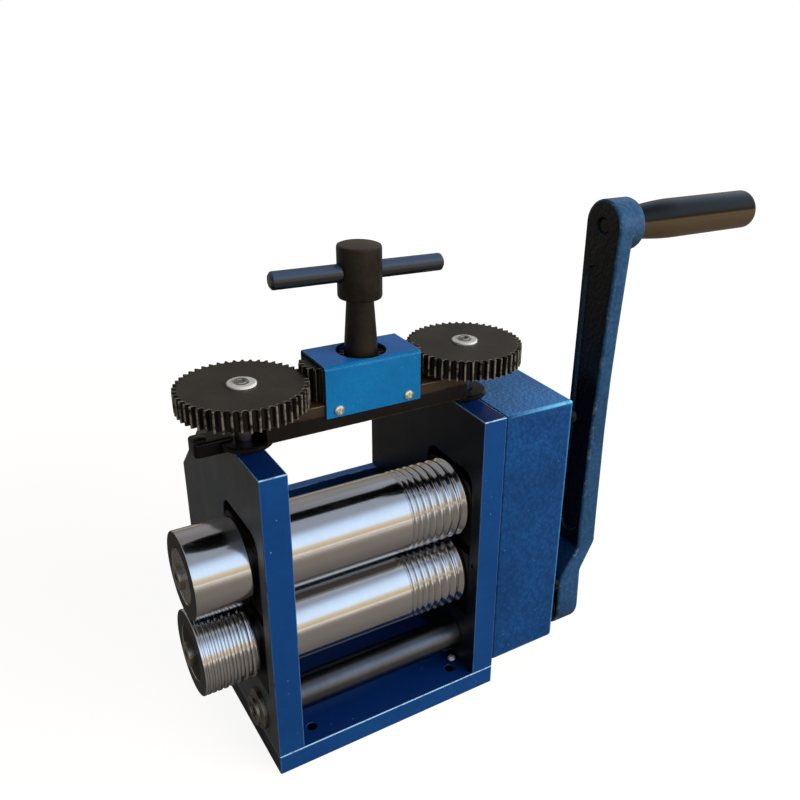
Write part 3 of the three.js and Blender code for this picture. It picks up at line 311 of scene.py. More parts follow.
def oriented(form: Form, axis: Axis) -> Form:
    """Turns a form drawn upright so that its height runs along an axis.

    Along X the drawing's u and v become Y and Z, along Y they become X and Z.

    Args:
        form: The upright form.
        axis: The axis.

    Returns:
        The turned form.
    """
    if axis is Axis.Z:
        return form
    rows = ((0, 0, 1), (1, 0, 0), (0, 1, 0)) if axis is Axis.X else ((1, 0, 0), (0, 0, 1), (0, 1, 0))
    return form.placed(Matrix(rows).to_4x4())


def lathe(profile: Outline, axis: Axis = Axis.Z, segments: int = 96, edge: float = 0.0) -> Form:
    """Turned form about an axis through the origin.

    Args:
        profile: Points as (radius, height). A first and last point that agree make a ring.
        axis: Axis that the height runs along.
        segments: Flats around it.
        edge: Radius that softens the profile's corners.

    Returns:
        The closed form.
    """
    longest_marked = max(edge, 0.5) * 0.95
    is_ring = profile[0] == profile[-1]
    corners = profile[:-1] if is_ring else profile
    line = soften(corners, edge, is_ring) if edge else list(corners)
    marks = convex(line, is_ring, longest_marked)
    if is_ring:
        line.append(line[0])
        marks.append(marks[0])
    form = Form()
    rows: list[list[int]] = []
    turns = [2 * math.pi * i / segments for i in range(segments)]
    for (radius, height), mark in zip(line, marks):
        if radius < TINY:
            rows.append(form.add([Vector((0, 0, height))]) * segments)
            continue
        ring = [Vector((radius * math.cos(a), radius * math.sin(a), height)) for a in turns]
        rows.append(form.add(ring, [mark] * segments))
    for low, high in zip(rows, rows[1:]):
        form.strip(low, high)
    return oriented(form, axis)


def cylinder(radius: float, low: float, high: float, axis: Axis = Axis.Z, segments: int = 96) -> Form:
    """Plain cylinder about an axis through the origin, between two heights."""
    return lathe([(0, low), (radius, low), (radius, high), (0, high)], axis, segments)


def slab(
    outline: Outline,
    low: float,
    high: float,
    axis: Axis = Axis.Z,
    holes: Iterable[Outline] = (),
    edge: float = 0.5,
    edge_low: float | None = None,
    steps: int = 3,
    is_low_worn: bool = True,
) -> Form:
    """Plate with rounded edges, sawn along an axis.

    Args:
        outline: Outer outline.
        low: Where it starts along the axis.
        high: Where it ends.
        axis: Axis that it is sawn along.
        holes: Outlines of the holes through it.
        edge: Radius of its edges.
        edge_low: Radius at its lower end, if that differs.
        steps: Faces across each rounded edge.
        is_low_worn: Whether the edges at its lower end are marked too, for rubbed edges and painted highlights.

    Returns:
        The closed form.
    """
    least_marked = 0.8
    loops = [outline if area(outline) > 0 else outline[::-1]]
    loops += [hole if area(hole) < 0 else hole[::-1] for hole in holes]
    edge_low = edge if edge_low is None else edge_low
    rings = [(inset, low + rise) for inset, rise in rounding(edge_low, steps)]
    rings += [(inset, high - rise) for inset, rise in reversed(rounding(edge, steps))]
    corners = [convex(loops[0], True, max(edge, edge_low, least_marked))]
    corners += [[0.0] * len(loop) for loop in loops[1:]]
    form = Form()
    rows: list[list[list[int]]] = []
    for number, (inset, height) in enumerate(rings):
        is_cap = number in (0, len(rings) - 1)
        is_low = height < (low + high) / 2
        row = []
        for loop, marks in zip(loops, corners):
            if is_cap or (is_low and not is_low_worn):
                marks = [0.0] * len(loop)
            elif inset > 1e-9 and loop is loops[0]:
                marks = [1.0] * len(loop)
            row.append(form.add([Vector((u, v, height)) for u, v in offset(loop, inset)], marks))
        rows.append(row)
    for below, above in zip(rows, rows[1:]):
        for a, b in zip(below, above):
            form.strip(a, b)
    for (inset, _), row in ((rings[0], rows[0]), (rings[-1], rows[-1])):
        flat = [[Vector((u, v, 0)) for u, v in offset(loop, inset)] for loop in loops]
        form.faces += [tuple(row[0][0] + i for i in face) for face in tessellate_polygon(flat)]
    return oriented(form, axis)


def tube(path: list[Vector], radius: float) -> Form:
    """Round wire with closed ends.

    Args:
        path: Points along its middle.
        radius: Radius of the wire.

    Returns:
        The wire.
    """
    form = Form()
    around = 10
    angles = [2 * math.pi * k / around for k in range(around)]
    rows = []
    for i, point in enumerate(path):
        ahead = path[min(i + 1, len(path) - 1)] - path[max(i - 1, 0)]
        ahead.normalize()
        side = ahead.cross(Vector((0, 0, 1))).normalized()
        up = side.cross(ahead)
        rows.append(form.add([point + (side * math.cos(a) + up * math.sin(a)) * radius for a in angles]))
    for low, high in zip(rows, rows[1:]):
        form.strip(low, high)
    form.faces += [tuple(rows[0]), tuple(rows[-1])]
    return form


def put_down(name: str, data: Any) -> bpy.types.Object:
    """Adds an object to the scene.

    Args:
        name: Name of the object.
        data: Its mesh, lamp or camera.

    Returns:
        The object.
    """
    made = bpy.data.objects.new(name, data)
    bpy.context.scene.collection.objects.link(made)
    return made


def carved(base: Form, *tools: Form) -> bpy.types.Mesh:
    """Cuts forms out of another.

    Args:
        base: Form that is cut.
        tools: Closed forms that are taken away.

    Returns:
        The cut mesh.
    """
    made = [put_down(f"carved_{i}", form.mesh(f"carved_{i}")) for i, form in enumerate((base, *tools))]
    for tool in made[1:]:
        cut = made[0].modifiers.new("cut", "BOOLEAN")
        cut.operation = "DIFFERENCE"
        cut.solver = "EXACT"
        cut.object = tool
    bpy.context.view_layer.update()
    graph = bpy.context.evaluated_depsgraph_get()
    data = bpy.data.meshes.new_from_object(made[0].evaluated_get(graph))
    for item in made:
        old = item.data
        bpy.data.objects.remove(item)
        bpy.data.meshes.remove(old)
    smooth(data, SHARP)
    return data


def gear_outline(
    module: float, teeth: int, tooth_at: float, above: float = 1.0, below: float = 1.25
) -> Outline:
    """Involute gear with one tooth centred on an angle.

    Args:
        module: Pitch diameter over the number of teeth.
        teeth: Number of teeth.
        tooth_at: Angle of a tooth's middle, in radians.
        above: Height of the teeth above the pitch circle, in modules.
        below: Their depth below it.

    Returns:
        Outline about the origin.
    """
    pressure = math.radians(20)
    backlash = 0.2
    corner = 0.12 * module
    pitch = module * teeth / 2
    base = pitch * math.cos(pressure)
    tip, root = pitch + above * module, pitch - below * module

    def half_tooth(radius: float) -> float:
        """Width of a tooth.

        Args:
            radius: Distance from the gear's axis.

        Returns:
            Half the tooth's angle there, in radians.
        """
        flank = math.acos(base / max(radius, base))
        grown = math.tan(pressure) - pressure - (math.tan(flank) - flank)
        return math.pi / (2 * teeth) - backlash / (2 * pitch) + grown

    flanks = [root + 0.16 * module, pitch - 0.35 * module, pitch, (pitch + tip) / 2, tip - corner]
    points: Outline = []
    for tooth in range(teeth):
        middle = tooth_at + 2 * math.pi * tooth / teeth
        rise = [(root, middle - half_tooth(root) - corner / root)]
        rise += [(r, middle - half_tooth(r)) for r in flanks]
        rise.append((tip, middle - half_tooth(tip) + corner / tip))
        fall = [(r, 2 * middle - a) for r, a in reversed(rise)]
        points += [(r * math.cos(a), r * math.sin(a)) for r, a in rise + fall]
    return points


def mating_tooth(direction: float, tooth_at: float, teeth: int, mating: int) -> float:
    """Tooth angle of a gear that meshes with a given one in a given direction from it."""
    return direction + math.pi - (tooth_at - direction) * teeth / mating + math.pi / mating


def socket_screw(
    head: float, thick: float, across: float, length: float, shank: float, crown: float = 0.12
) -> Form:
    """Socket head screw that bears at height 0, with its head above.

    Args:
        head: Radius of the head.
        thick: Thickness of the head.
        across: Radius over the corners of the hexagon socket.
        length: Length of the shank below the head.
        shank: Radius of the shank.
        crown: Share of the thickness that the head's edge is rounded by.

    Returns:
        The screw.
    """
    floor = thick * 0.3
    hexagon = circle(0, 0, across, 6)
    top = slab(circle(0, 0, head, 48), floor, thick, holes=[hexagon], edge=thick * crown, edge_low=0)
    low = lathe([(0, -length), (shank, -length), (shank, 0), (head, 0), (head, floor), (0, floor)], segments=48)
    return top.join(low)


# ------------------------------------------------------------------ finishes


def shade(red: int, green: int, blue: int) -> Colour:
    """Linear colour of a screen colour.

    Args:
        red: Red from 0 to 255.
        green: Green from 0 to 255.
        blue: Blue from 0 to 255.

    Returns:
        The colour, with an alpha of 1.
    """

    def linear(value: int) -> float:
        """Linear share of one channel."""
        part = value / 255
        return part / 12.92 if part <= 0.04045 else ((part + 0.055) / 1.055) ** 2.4

    return linear(red), linear(green), linear(blue), 1.0


class Wiring:
    """Adds nodes to a shader tree and links them."""

    def __init__(self, tree: bpy.types.NodeTree) -> None:
        """Takes the tree that is wired."""
        self.tree = tree

    @classmethod
    def of(cls, owner: bpy.types.Material | bpy.types.World) -> "Wiring":
        """Clears nodes to wire them anew.

        Args:
            owner: Material or world that has the nodes.

        Returns:
            The wiring of its tree.
        """
        owner.use_nodes = True
        owner.node_tree.nodes.clear()
        return cls(owner.node_tree)

    def put(self, kind: str, inputs: dict[Any, Any] | None = None, **settings: Any) -> bpy.types.Node:
        """Adds a node.

        Args:
            kind: What Blender's name of the node type says after "ShaderNode".
            inputs: Values or sockets by the input's name or number.
            settings: Properties of the node.

        Returns:
            The node.
        """
        node = self.tree.nodes.new(kind if kind.startswith("NodeGroup") else f"ShaderNode{kind}")
        for key, value in settings.items():
            setattr(node, key, value)
        for key, value in (inputs or {}).items():
            if isinstance(value, Socket):
                self.tree.links.new(value, node.inputs[key])
            else:
                node.inputs[key].default_value = value
        return node

    def sum(self, operation: str, a: Any, b: Any = 0.0) -> Socket:
        """Result of a math node on two values."""
        return self.put("Math", {0: a, 1: b}, operation=operation).outputs[0]

    def times(self, a: Any, b: Any) -> Socket:
        """Product of two values."""
        return self.sum("MULTIPLY", a, b)

    def vector(self, operation: str, a: Any, b: Any = (0.0, 0.0, 0.0)) -> bpy.types.Node:
        """Vector math node on two vectors."""
        return self.put("VectorMath", {0: a, 1: b}, operation=operation)

    def spread(self, value: Any, low: Any, high: Any, to_low: Any = 0.0, to_high: Any = 1.0) -> Socket:
        """Value mapped from one range to another, without leaving it."""
        names = ("Value", "From Min", "From Max", "To Min", "To Max")
        return self.put("MapRange", dict(zip(names, (value, low, high, to_low, to_high)))).outputs[0]

    def blend(self, share: Any, a: Any, b: Any) -> Socket:
        """Mix of two colours."""
        return self.put("Mix", {0: share, 6: a, 7: b}, data_type="RGBA").outputs[2]

    def place(self, kind: str = "Object") -> Socket:
        """Place of a point on its own object, in metres, or another of its coordinates."""
        return self.put("TexCoord").outputs[kind]

    def parts(self, vector: Socket) -> bpy.types.bpy_prop_collection:
        """The three parts of a vector."""
        return self.put("SeparateXYZ", {0: vector}).outputs

    def noise(self, vector: Socket, scale: Any, detail: float = 3.0, roughness: float = 0.55) -> Socket:
        """Grey noise."""
        inputs = {"Vector": vector, "Scale": scale, "Detail": detail, "Roughness": roughness}
        return self.put("TexNoise", inputs).outputs[0]

    def stretched(self, scale: Triple) -> Socket:
        """Place multiplied along each axis."""
        return self.vector("MULTIPLY", self.place(), scale).outputs[0]

    def bump(self, height: Socket, depth: float) -> Socket:
        """Normal of a height pattern, with its full depth in metres."""
        return self.put("Bump", {"Height": height, "Distance": depth, "Strength": 1.0}).outputs[0]

    def seen(self) -> tuple[Socket, Socket]:
        """Whether a ray is the camera's, and whether it is a reflection's."""
        path = self.put("LightPath").outputs
        return self.sum("MAXIMUM", path["Is Camera Ray"], path["Is Transmission Ray"]), path["Is Glossy Ray"]


@dataclass(frozen=True)
class Effect:
    """Surface effect that several finishes share, kept as one node group.

    Its wire function is given the wiring of the group and the group's inputs by name, and
    returns what feeds the outputs.
    """

    name: str
    inputs: tuple[str, ...]
    outputs: tuple[str, ...]
    wire: Callable[[Wiring, dict[str, Socket]], tuple[Socket, ...]]

    def tree(self) -> bpy.types.NodeTree:
        """Builds the node group, or finds it if it was built before.

        Returns:
            The node group.
        """
        known = bpy.data.node_groups.get(self.name)
        if known:
            return known
        tree = bpy.data.node_groups.new(self.name, "ShaderNodeTree")
        for way, names in (("INPUT", self.inputs), ("OUTPUT", self.outputs)):
            for name in names:
                tree.interface.new_socket(name=name, in_out=way, socket_type="NodeSocketFloat")
        w = Wiring(tree)
        start = w.put("NodeGroupInput").outputs
        ends = self.wire(w, {name: start[name] for name in self.inputs})
        w.put("NodeGroupOutput", dict(zip(self.outputs, ends)))
        return tree

    def on(self, w: Wiring, **values: Any) -> bpy.types.bpy_prop_collection:
        """Places the effect in a material and returns its outputs."""
        return w.put("Group", values, node_tree=self.tree()).outputs


def _edge_wear(w: Wiring, i: dict[str, Socket]) -> tuple[Socket, ...]:
    """Mask of rubbed edges and painted edge highlights along the rounded edges, strongest on those that look up
    and broken up by noise.

    Args:
        w: Wiring of the effect.
        i: The effect's inputs by name.

    Returns:
        The mask.
    """
    mark = w.put("Attribute", attribute_name=EDGE_MARK).outputs["Fac"]
    patches = w.spread(w.noise(w.place(), i["scale"], 4.0, 0.65), i["bare"], w.sum("ADD", i["bare"], 0.16))
    up_facing = w.spread(w.parts(w.place("Normal"))[2], 0.1, 0.6, i["sides"], 1.0)
    return (w.times(w.times(mark, patches), up_facing),)


def _mottle(w: Wiring, i: dict[str, Socket]) -> tuple[Socket, ...]:
    """Cloudy variation from 0 to 1.

    Args:
        w: Wiring of the effect.
        i: The effect's inputs by name.

    Returns:
        The variation.
    """
    broad = w.noise(w.place(), i["scale"], 3.0, 0.5)
    fine = w.noise(w.place(), w.times(i["scale"], 7.3), 3.0, 0.6)
    return (w.spread(w.sum("ADD", w.times(broad, 0.7), w.times(fine, 0.3)), 0.36, 0.64),)


def _hammer(w: Wiring, i: dict[str, Socket]) -> tuple[Socket, ...]:
    """Height of a hammered enamel: soft cells with fine grain between them.

    Args:
        w: Wiring of the effect.
        i: The effect's inputs by name.

    Returns:
        The height.
    """
    wobble = w.put("TexNoise", {"Vector": w.place(), "Scale": i["scale"], "Detail": 2.0}).outputs["Color"]
    shift = w.put("VectorMath", {0: wobble, 3: 0.0012}, operation="SCALE").outputs[0]
    inputs = {"Vector": w.vector("ADD", w.place(), shift).outputs[0], "Scale": i["scale"], "Smoothness": 0.8}
    cells = w.put("TexVoronoi", inputs, feature="SMOOTH_F1").outputs["Distance"]
    grain = w.noise(w.place(), w.times(i["scale"], 2.1), 2.0, 0.5)
    return (w.sum("ADD", w.times(cells, 0.75), w.times(grain, 0.45)),)


def _specks(w: Wiring, i: dict[str, Socket]) -> tuple[Socket, ...]:
    """Mask of small scattered specks of different sizes.

    Args:
        w: Wiring of the effect.
        i: The effect's inputs by name.

    Returns:
        The mask.
    """
    cells = w.put("TexVoronoi", {"Vector": w.place(), "Scale": i["scale"]}).outputs
    chance = w.put("SeparateColor", {0: cells["Color"]}).outputs[0]
    size = w.times(i["size"], w.sum("SUBTRACT", chance, 0.5))
    return (w.spread(w.sum("SUBTRACT", size, cells["Distance"]), 0.0, 0.03),)


def _turning(w: Wiring, i: dict[str, Socket]) -> tuple[Socket, ...]:
    """Fine rings that a lathe or grinder leaves across the X axis.

    Args:
        w: Wiring of the effect.
        i: The effect's inputs by name.

    Returns:
        The rings' height.
    """
    x = w.times(w.parts(w.place())[0], i["scale"])
    drift = w.noise(w.stretched((0.0, 14.0, 14.0)), 1.0, 2.0)
    vector = w.put("CombineXYZ", {0: x, 1: w.times(drift, 0.6)}).outputs[0]
    return (w.noise(vector, 1.0, 4.0, 0.7),)


def _facing(w: Wiring, i: dict[str, Socket]) -> tuple[Socket, ...]:
    """Masks of the faces across the X axis and of those that look up, left and down.

    Args:
        w: Wiring of the effect.
        i: The effect's inputs by name.

    Returns:
        The four masks.
    """
    x, _, z = w.parts(w.place("Normal"))
    near, full = 0.9, 0.98
    across = w.spread(w.sum("ABSOLUTE", x), near, full)
    leftward = w.spread(w.times(x, -1.0), near, full)
    return across, w.spread(z, near, full), leftward, w.spread(z, 0.0, -0.8)


EDGE_WEAR_AND_GLINT = Effect("edge_wear", ("scale", "bare", "sides"), ("mask",), _edge_wear)
MOTTLE = Effect("mottle", ("scale",), ("value",), _mottle)
HAMMER = Effect("hammer_tone", ("scale",), ("height",), _hammer)
SPECKS = Effect("specks", ("scale", "size"), ("mask",), _specks)
TURNING = Effect("turning_lines", ("scale",), ("height",), _turning)
FACING = Effect("facing", (), ("across", "upward", "leftward", "downward"), _facing)


@dataclass(frozen=True)
class Finish:
    """Finish that makes one material on its first use.

    The slot is the record's material slot that the finish stands for; it is not used here.
    """

    name: str
    slot: str
    colour: Colour

    def wire(self, w: Wiring) -> dict[str, Any]:
        """Wires the pattern.

        Args:
            w: Wiring of the material.

        Returns:
            The surface shader's inputs by name.
        """
        raise NotImplementedError

    def material(self) -> bpy.types.Material:
        """Makes the material, or finds it if it was made before.

        Returns:
            The material.
        """
        known = bpy.data.materials.get(self.name)
        if known:
            return known
        made = bpy.data.materials.new(self.name)
        w = Wiring.of(made)
        surface = w.put("BsdfPrincipled", self.wire(w))
        w.put("OutputMaterial", {0: surface.outputs[0]})
        return made


@dataclass(frozen=True)
class Enamel(Finish):
    """Sprayed paint on steel, smooth or hammered, rubbed light along its edges, which also stands for painted edge
    highlights, with painted light and shade on the faces that look up and painted shade on those that look down.
    """

    deep: Colour
    # upper is painted light and shade on the faces that look up; left is the colour of the faces that look left,
    # painted shade on FRAME_BLUE and ARM_BLUE and a grey on OUTER_BLUE.
    upper: Colour
    # colour of rubbed edges and chips, which also serves as a painted edge highlight
    worn: Colour
    left: Colour | None = None
    rough: float = 0.38
    cell: float = 900.0
    relief: float = 0.00003
    bare: float = 0.42
    wear: float = 0.8
    sides: float = 0.22
    speck_size: float = 0.22
    cell_tone: float = 0.3

    def wire(self, w: Wiring) -> dict[str, Any]:
        """Wires tone, painted light and shade by facing, rubbed edges with painted highlights, specks and relief.

        Args:
            w: Wiring of the material.

        Returns:
            The surface shader's inputs by name.
        """
        height = HAMMER.on(w, scale=self.cell)[0]
        facing = FACING.on(w)
        edge = EDGE_WEAR_AND_GLINT.on(w, scale=120.0, bare=self.bare, sides=self.sides)[0]
        speck = SPECKS.on(w, scale=260.0, size=self.speck_size)[0]
        colour: Any = self.colour
        for share, other in (
            (w.times(MOTTLE.on(w, scale=24.0)[0], 0.6), self.deep),
            (w.spread(height, 0.35, 0.75, 0.0, self.cell_tone), self.deep),
            # painted light and shade on the faces that look up
            (w.times(facing["upward"], 0.85), self.upper),
            # faces that look left: painted shade on FRAME_BLUE and ARM_BLUE, a grey on OUTER_BLUE
            (facing["leftward"], self.left),
            # painted shade on the faces that look down
            (w.times(facing["downward"], 0.85), shade(8, 10, 16)),
            # rubbed edges in a light colour, which also stand for painted edge highlights
            (w.times(edge, self.wear), self.worn),
            (w.times(speck, 0.35), self.worn),
        ):
            if other:
                colour = w.blend(share, colour, other)
        rough = w.spread(MOTTLE.on(w, scale=60.0)[0], 0.0, 1.0, self.rough - 0.05, self.rough + 0.08)
        relief = w.bump(height, self.relief)
        return {"Base Color": colour, "Roughness": rough, "Specular IOR Level": 0.3, "Normal": relief}


@dataclass(frozen=True)
class TurnedSteel(Finish):
    """Bare steel, ground or polished on a lathe, with duller, darker end faces whose colour also serves as painted
    shade on the faces that look down.
    """

    stain: Colour
    end: Colour
    rough: float = 0.16
    relief: float = 0.0000012
    stain_share: float = 0.35

    def wire(self, w: Wiring) -> dict[str, Any]:
        """Wires turning lines, stains, end faces and painted shade on the faces that look down.

        Args:
            w: Wiring of the material.

        Returns:
            The surface shader's inputs by name.
        """
        rings = TURNING.on(w, scale=5200.0)[0]
        facing = FACING.on(w)
        clouds = MOTTLE.on(w, scale=38.0)[0]
        colour = w.blend(w.times(clouds, self.stain_share), self.colour, self.stain)
        colour = w.blend(w.spread(rings, 0.3, 0.7, 0.0, 0.12), colour, self.stain)
        # painted shade on the faces that look down, in the end faces' colour
        colour = w.blend(w.times(facing["downward"], 0.7), colour, self.end)
        colour = w.blend(facing["across"], colour, self.end)
        rough = w.spread(rings, 0.3, 0.7, self.rough * 0.8, self.rough * 1.25)
        rough = w.sum("ADD", rough, w.times(facing["across"], 0.25))
        relief = w.bump(rings, self.relief)
        return {"Base Color": colour, "Roughness": rough, "Metallic": 1.0, "Normal": relief}


@dataclass(frozen=True)
class Oxide(Finish):
    """Blackened steel with painted light on the faces that look up, and lighter rubbed edges that also stand for
    painted glints.

    Below the height dark_below, in metres, it is darker.
    """

    upper: Colour
    bright: Colour
    rough: float = 0.42
    wear: float = 0.75
    dark_below: float = 0.0

    def wire(self, w: Wiring) -> dict[str, Any]:
        """Wires the oxide's tone, painted light on its upper faces, and its rubbed edges with painted glints.

        Args:
            w: Wiring of the material.

        Returns:
            The surface shader's inputs by name.
        """
        tone = MOTTLE.on(w, scale=55.0)[0]
        # painted light on the faces that look up; the tone below mixes towards the same colour
        colour = w.blend(FACING.on(w)["upward"], self.colour, self.upper)
        colour = w.blend(w.times(tone, 0.4), colour, self.upper)
        if self.dark_below:
            ragged = 0.0012
            height = w.sum("ADD", w.parts(w.place())[2], w.times(tone, ragged))
            darker_share = w.spread(height, self.dark_below, self.dark_below + ragged, 0.9, 0.0)
            colour = w.blend(darker_share, colour, shade(12, 11, 11))
        # rubbed edges, which also stand for painted glints
        worn = w.times(EDGE_WEAR_AND_GLINT.on(w, scale=240.0, bare=0.4, sides=0.6)[0], self.wear)
        return {
            "Base Color": w.blend(worn, colour, self.bright),
            "Roughness": w.spread(tone, 0.0, 1.0, self.rough - 0.06, self.rough + 0.1),
            "Metallic": w.spread(worn, 0.0, 1.0, 0.55, 1.0),
            "Normal": w.bump(w.noise(w.place(), 2600.0, 2.0), 0.000006),
        }


@dataclass(frozen=True)
class Gloss(Finish):
    """Deep gloss enamel or moulded plastic with faint handling marks, and where given a painted highlight on the
    faces that look up and a painted reflection on those that look down.
    """

    haze: Colour
    rough: float = 0.14
    specular: float = 0.55
    # upper is a painted highlight on the faces that look up; lower is a painted reflection of the floor on those
    # that look down.
    upper: Colour | None = None
    lower: Colour | None = None

    def wire(self, w: Wiring) -> dict[str, Any]:
        """Wires haze, scuffs, a slight waviness, and the painted highlight and reflection.

        Args:
            w: Wiring of the material.

        Returns:
            The surface shader's inputs by name.
        """
        colour = w.blend(w.times(MOTTLE.on(w, scale=70.0)[0], 0.5), self.colour, self.haze)
        tilt = w.parts(w.place("Normal"))[2]
        # painted highlight above and painted reflection of the floor below
        for other, near, full in ((self.upper, 0.4, 0.62), (self.lower, 0.26, 0.14)):
            if other:
                colour = w.blend(w.spread(tilt, near, full), colour, other)
        scuffs = w.noise(w.stretched((60.0, 400.0, 400.0)), 2.0, 4.0, 0.7)
        return {
            "Base Color": colour,
            "Roughness": w.spread(scuffs, 0.4, 0.75, self.rough, self.rough + 0.14),
            "Specular IOR Level": self.specular,
            "Normal": w.bump(w.noise(w.place(), 260.0, 2.0), 0.00001),
        }


@dataclass(frozen=True)
class Plate(Finish):
    """Bright plated or cast metal with a tint in cloudy patches."""

    tint: Colour
    rough: float = 0.24
    share: float = 0.6

    def wire(self, w: Wiring) -> dict[str, Any]:
        """Wires the tint and fine scratches.

        Args:
            w: Wiring of the material.

        Returns:
            The surface shader's inputs by name.
        """
        scratches = w.noise(w.stretched((900.0, 5200.0, 2100.0)), 1.0, 3.0, 0.7)
        return {
            "Base Color": w.blend(w.times(MOTTLE.on(w, scale=150.0)[0], self.share), self.colour, self.tint),
            "Roughness": w.spread(scratches, 0.3, 0.7, self.rough * 0.75, self.rough * 1.3),
            "Metallic": 1.0,
            "Normal": w.bump(scratches, 0.000002),
        }


# Enamel colours in order: base, deep tone, painted light and shade for the faces that look up, then the
# rubbed-edge colour, which also serves as painted edge highlight; left, where given, is painted shade, except the
# grey of OUTER_BLUE.
FRAME_BLUE = Enamel(
    "frame_blue", "frame_paint", shade(9, 66, 124), shade(5, 50, 102), shade(6, 36, 92), shade(172, 212, 238),
    left=shade(30, 34, 40), rough=0.36, bare=0.3, wear=0.95, sides=0.14,
)
OUTER_BLUE = replace(
    FRAME_BLUE, name="outer_blue", left=shade(104, 111, 116), rough=0.4, speck_size=0.26
)
# frame paint made lighter as painted light on the rear tie plate, which stands in shade behind the rolls
TIE_PAINTED_LIGHT = Enamel(
    "tie_blue", "frame_paint", shade(30, 96, 160), shade(20, 76, 136), shade(60, 120, 190), shade(172, 212, 238),
    rough=0.36, bare=0.4,
)
CASING_BLUE = Enamel(
    "casing_blue", "casing_paint", shade(14, 74, 130), shade(4, 40, 86), shade(56, 126, 196), shade(110, 195, 240),
    rough=0.3, cell=400.0, relief=0.00046, bare=0.26, wear=1.0, cell_tone=0.55,
)
ARM_BLUE = Enamel(
    "arm_blue", "casing_paint", shade(44, 84, 120), shade(14, 44, 78), shade(50, 92, 138), shade(202, 214, 216),
    left=shade(7, 8, 11), rough=0.36, cell=420.0, relief=0.00034, bare=0.54, wear=1.0, speck_size=0.26,
    cell_tone=0.5,
)
COVER_BLUE = Enamel(
    "cover_blue", "cover_paint", shade(6, 110, 166), shade(4, 84, 136), shade(32, 108, 190), shade(130, 200, 235),
    rough=0.28, cell=1000.0, relief=0.00008, bare=0.22, wear=1.0, cell_tone=0.4,
)
# TurnedSteel colours in order: base, stain, end faces, which also give the painted shade underneath.
ROLL_STEEL = TurnedSteel(
    "roll_steel", "polished_steel", shade(224, 225, 229), shade(180, 166, 146), shade(32, 27, 23), rough=0.13,
    stain_share=0.12,
)
SHAFT_STEEL = TurnedSteel(
    "shaft_steel", "ground_steel", shade(118, 122, 130), shade(72, 60, 50), shade(60, 56, 52), rough=0.32,
    relief=0.000003,
)
# Oxide colours in order: base, painted light for the faces that look up, which the tone also mixes towards, and
# the colour of rubbed edges that also stands for painted glints.
GEAR_OXIDE = Oxide(
    "gear_oxide", "black_oxide", shade(17, 14, 12), shade(64, 57, 48), shade(206, 196, 180), rough=0.46, wear=1.0
)
HANDLE_OXIDE = Oxide(
    "handle_oxide", "black_oxide", shade(22, 15, 9), shade(68, 60, 48), shade(104, 86, 64), rough=0.36, wear=0.35
)
BAR_OXIDE = Oxide(
    "bar_oxide", "black_oxide", shade(58, 46, 35), shade(84, 68, 52), shade(150, 126, 98), rough=0.4,
    dark_below=0.1975,
)
SEAT_BLACK = Gloss("seat_black", "black_oxide", shade(6, 6, 7), shade(20, 16, 13), rough=0.24, specular=0.2)
# lower is a painted reflection of the floor on the grip's underside
GRIP_BLACK = Gloss(
    "grip_gloss", "grip_black", shade(4, 4, 5), shade(14, 12, 11), rough=0.08, specular=0.22,
    lower=shade(66, 53, 35),
)
# upper is a painted highlight along the bar's top
BAR_BLACK = Gloss(
    "bar_black", "black_enamel", shade(9, 12, 19), shade(18, 26, 40), rough=0.1, specular=0.9,
    upper=shade(46, 62, 90),
)
# near white, a painted highlight on the small screw head at the base's front right
PIN_PAINTED_GLINT = Gloss("pin_white", "", shade(236, 236, 232), shade(206, 204, 198), rough=0.3, specular=0.5)
WASHER_NICKEL = Gloss(
    "washer_nickel", "bright_nickel", shade(224, 223, 218), shade(190, 186, 178), rough=0.22, specular=0.6
)
WASHER_GREY = Gloss(
    "washer_grey", "ground_steel", shade(178, 177, 172), shade(132, 126, 116), rough=0.22, specular=0.6
)
ZINC = Plate("zinc_yellow", "bright_nickel", shade(255, 250, 232), shade(236, 214, 164), rough=0.36, share=0.4)
DULL_ZINC = Plate("dull_zinc", "ground_steel", shade(150, 150, 142), shade(108, 92, 62), rough=0.34)
NICKEL = Plate("nickel_plate", "bright_nickel", shade(178, 174, 164), shade(120, 108, 90), rough=0.26)
# bronze darkened near black as painted shade; it also lines the bearing slots and the bench bolt holes as painted
# shade
BRONZE_PAINTED_SHADE = Plate("bearing_dark", "bearing_bronze", shade(58, 48, 38), shade(28, 24, 20), rough=0.5)
SPRING_WIRE = Plate("spring_wire", "spring_steel", shade(120, 120, 122), shade(70, 62, 52), rough=0.35)
INNER_STEEL = Plate("inner_steel", "", shade(104, 100, 95), shade(56, 50, 42), rough=0.4)


# ------------------------------------------------------------------ dressing pieces


def dress(
    name: str,
    shape: Form | bpy.types.Mesh,
    finish: Finish,
    node: str = "",
    body: str = "frame",
    sharp: float = SHARP,
) -> bpy.types.Object:
    """Adds a finished piece that rides on a body.

    Args:
        name: Name of the piece.
        shape: Its form, or its mesh in metres, in place.
        finish: Its finish.
        node: CAD node that it stands for, if any.
        body: Body that it moves with.
        sharp: Angle from which a form's edges stay sharp, in degrees.

    Returns:
        The object.
    """
    mesh = shape.mesh(name, sharp) if isinstance(shape, Form) else shape
    mesh.name = name
    mesh.materials.clear()
    mesh.materials.append(finish.material())
    piece = put_down(name, mesh)
    shading = piece.modifiers.new("flat_faces", "WEIGHTED_NORMAL")
    shading.keep_sharp = True
    shading.weight = 60
    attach(piece, body)
    if node:
        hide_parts(node)
    log.info("%s: %d faces, rides on %s", name, len(mesh.polygons), body)
    return piece


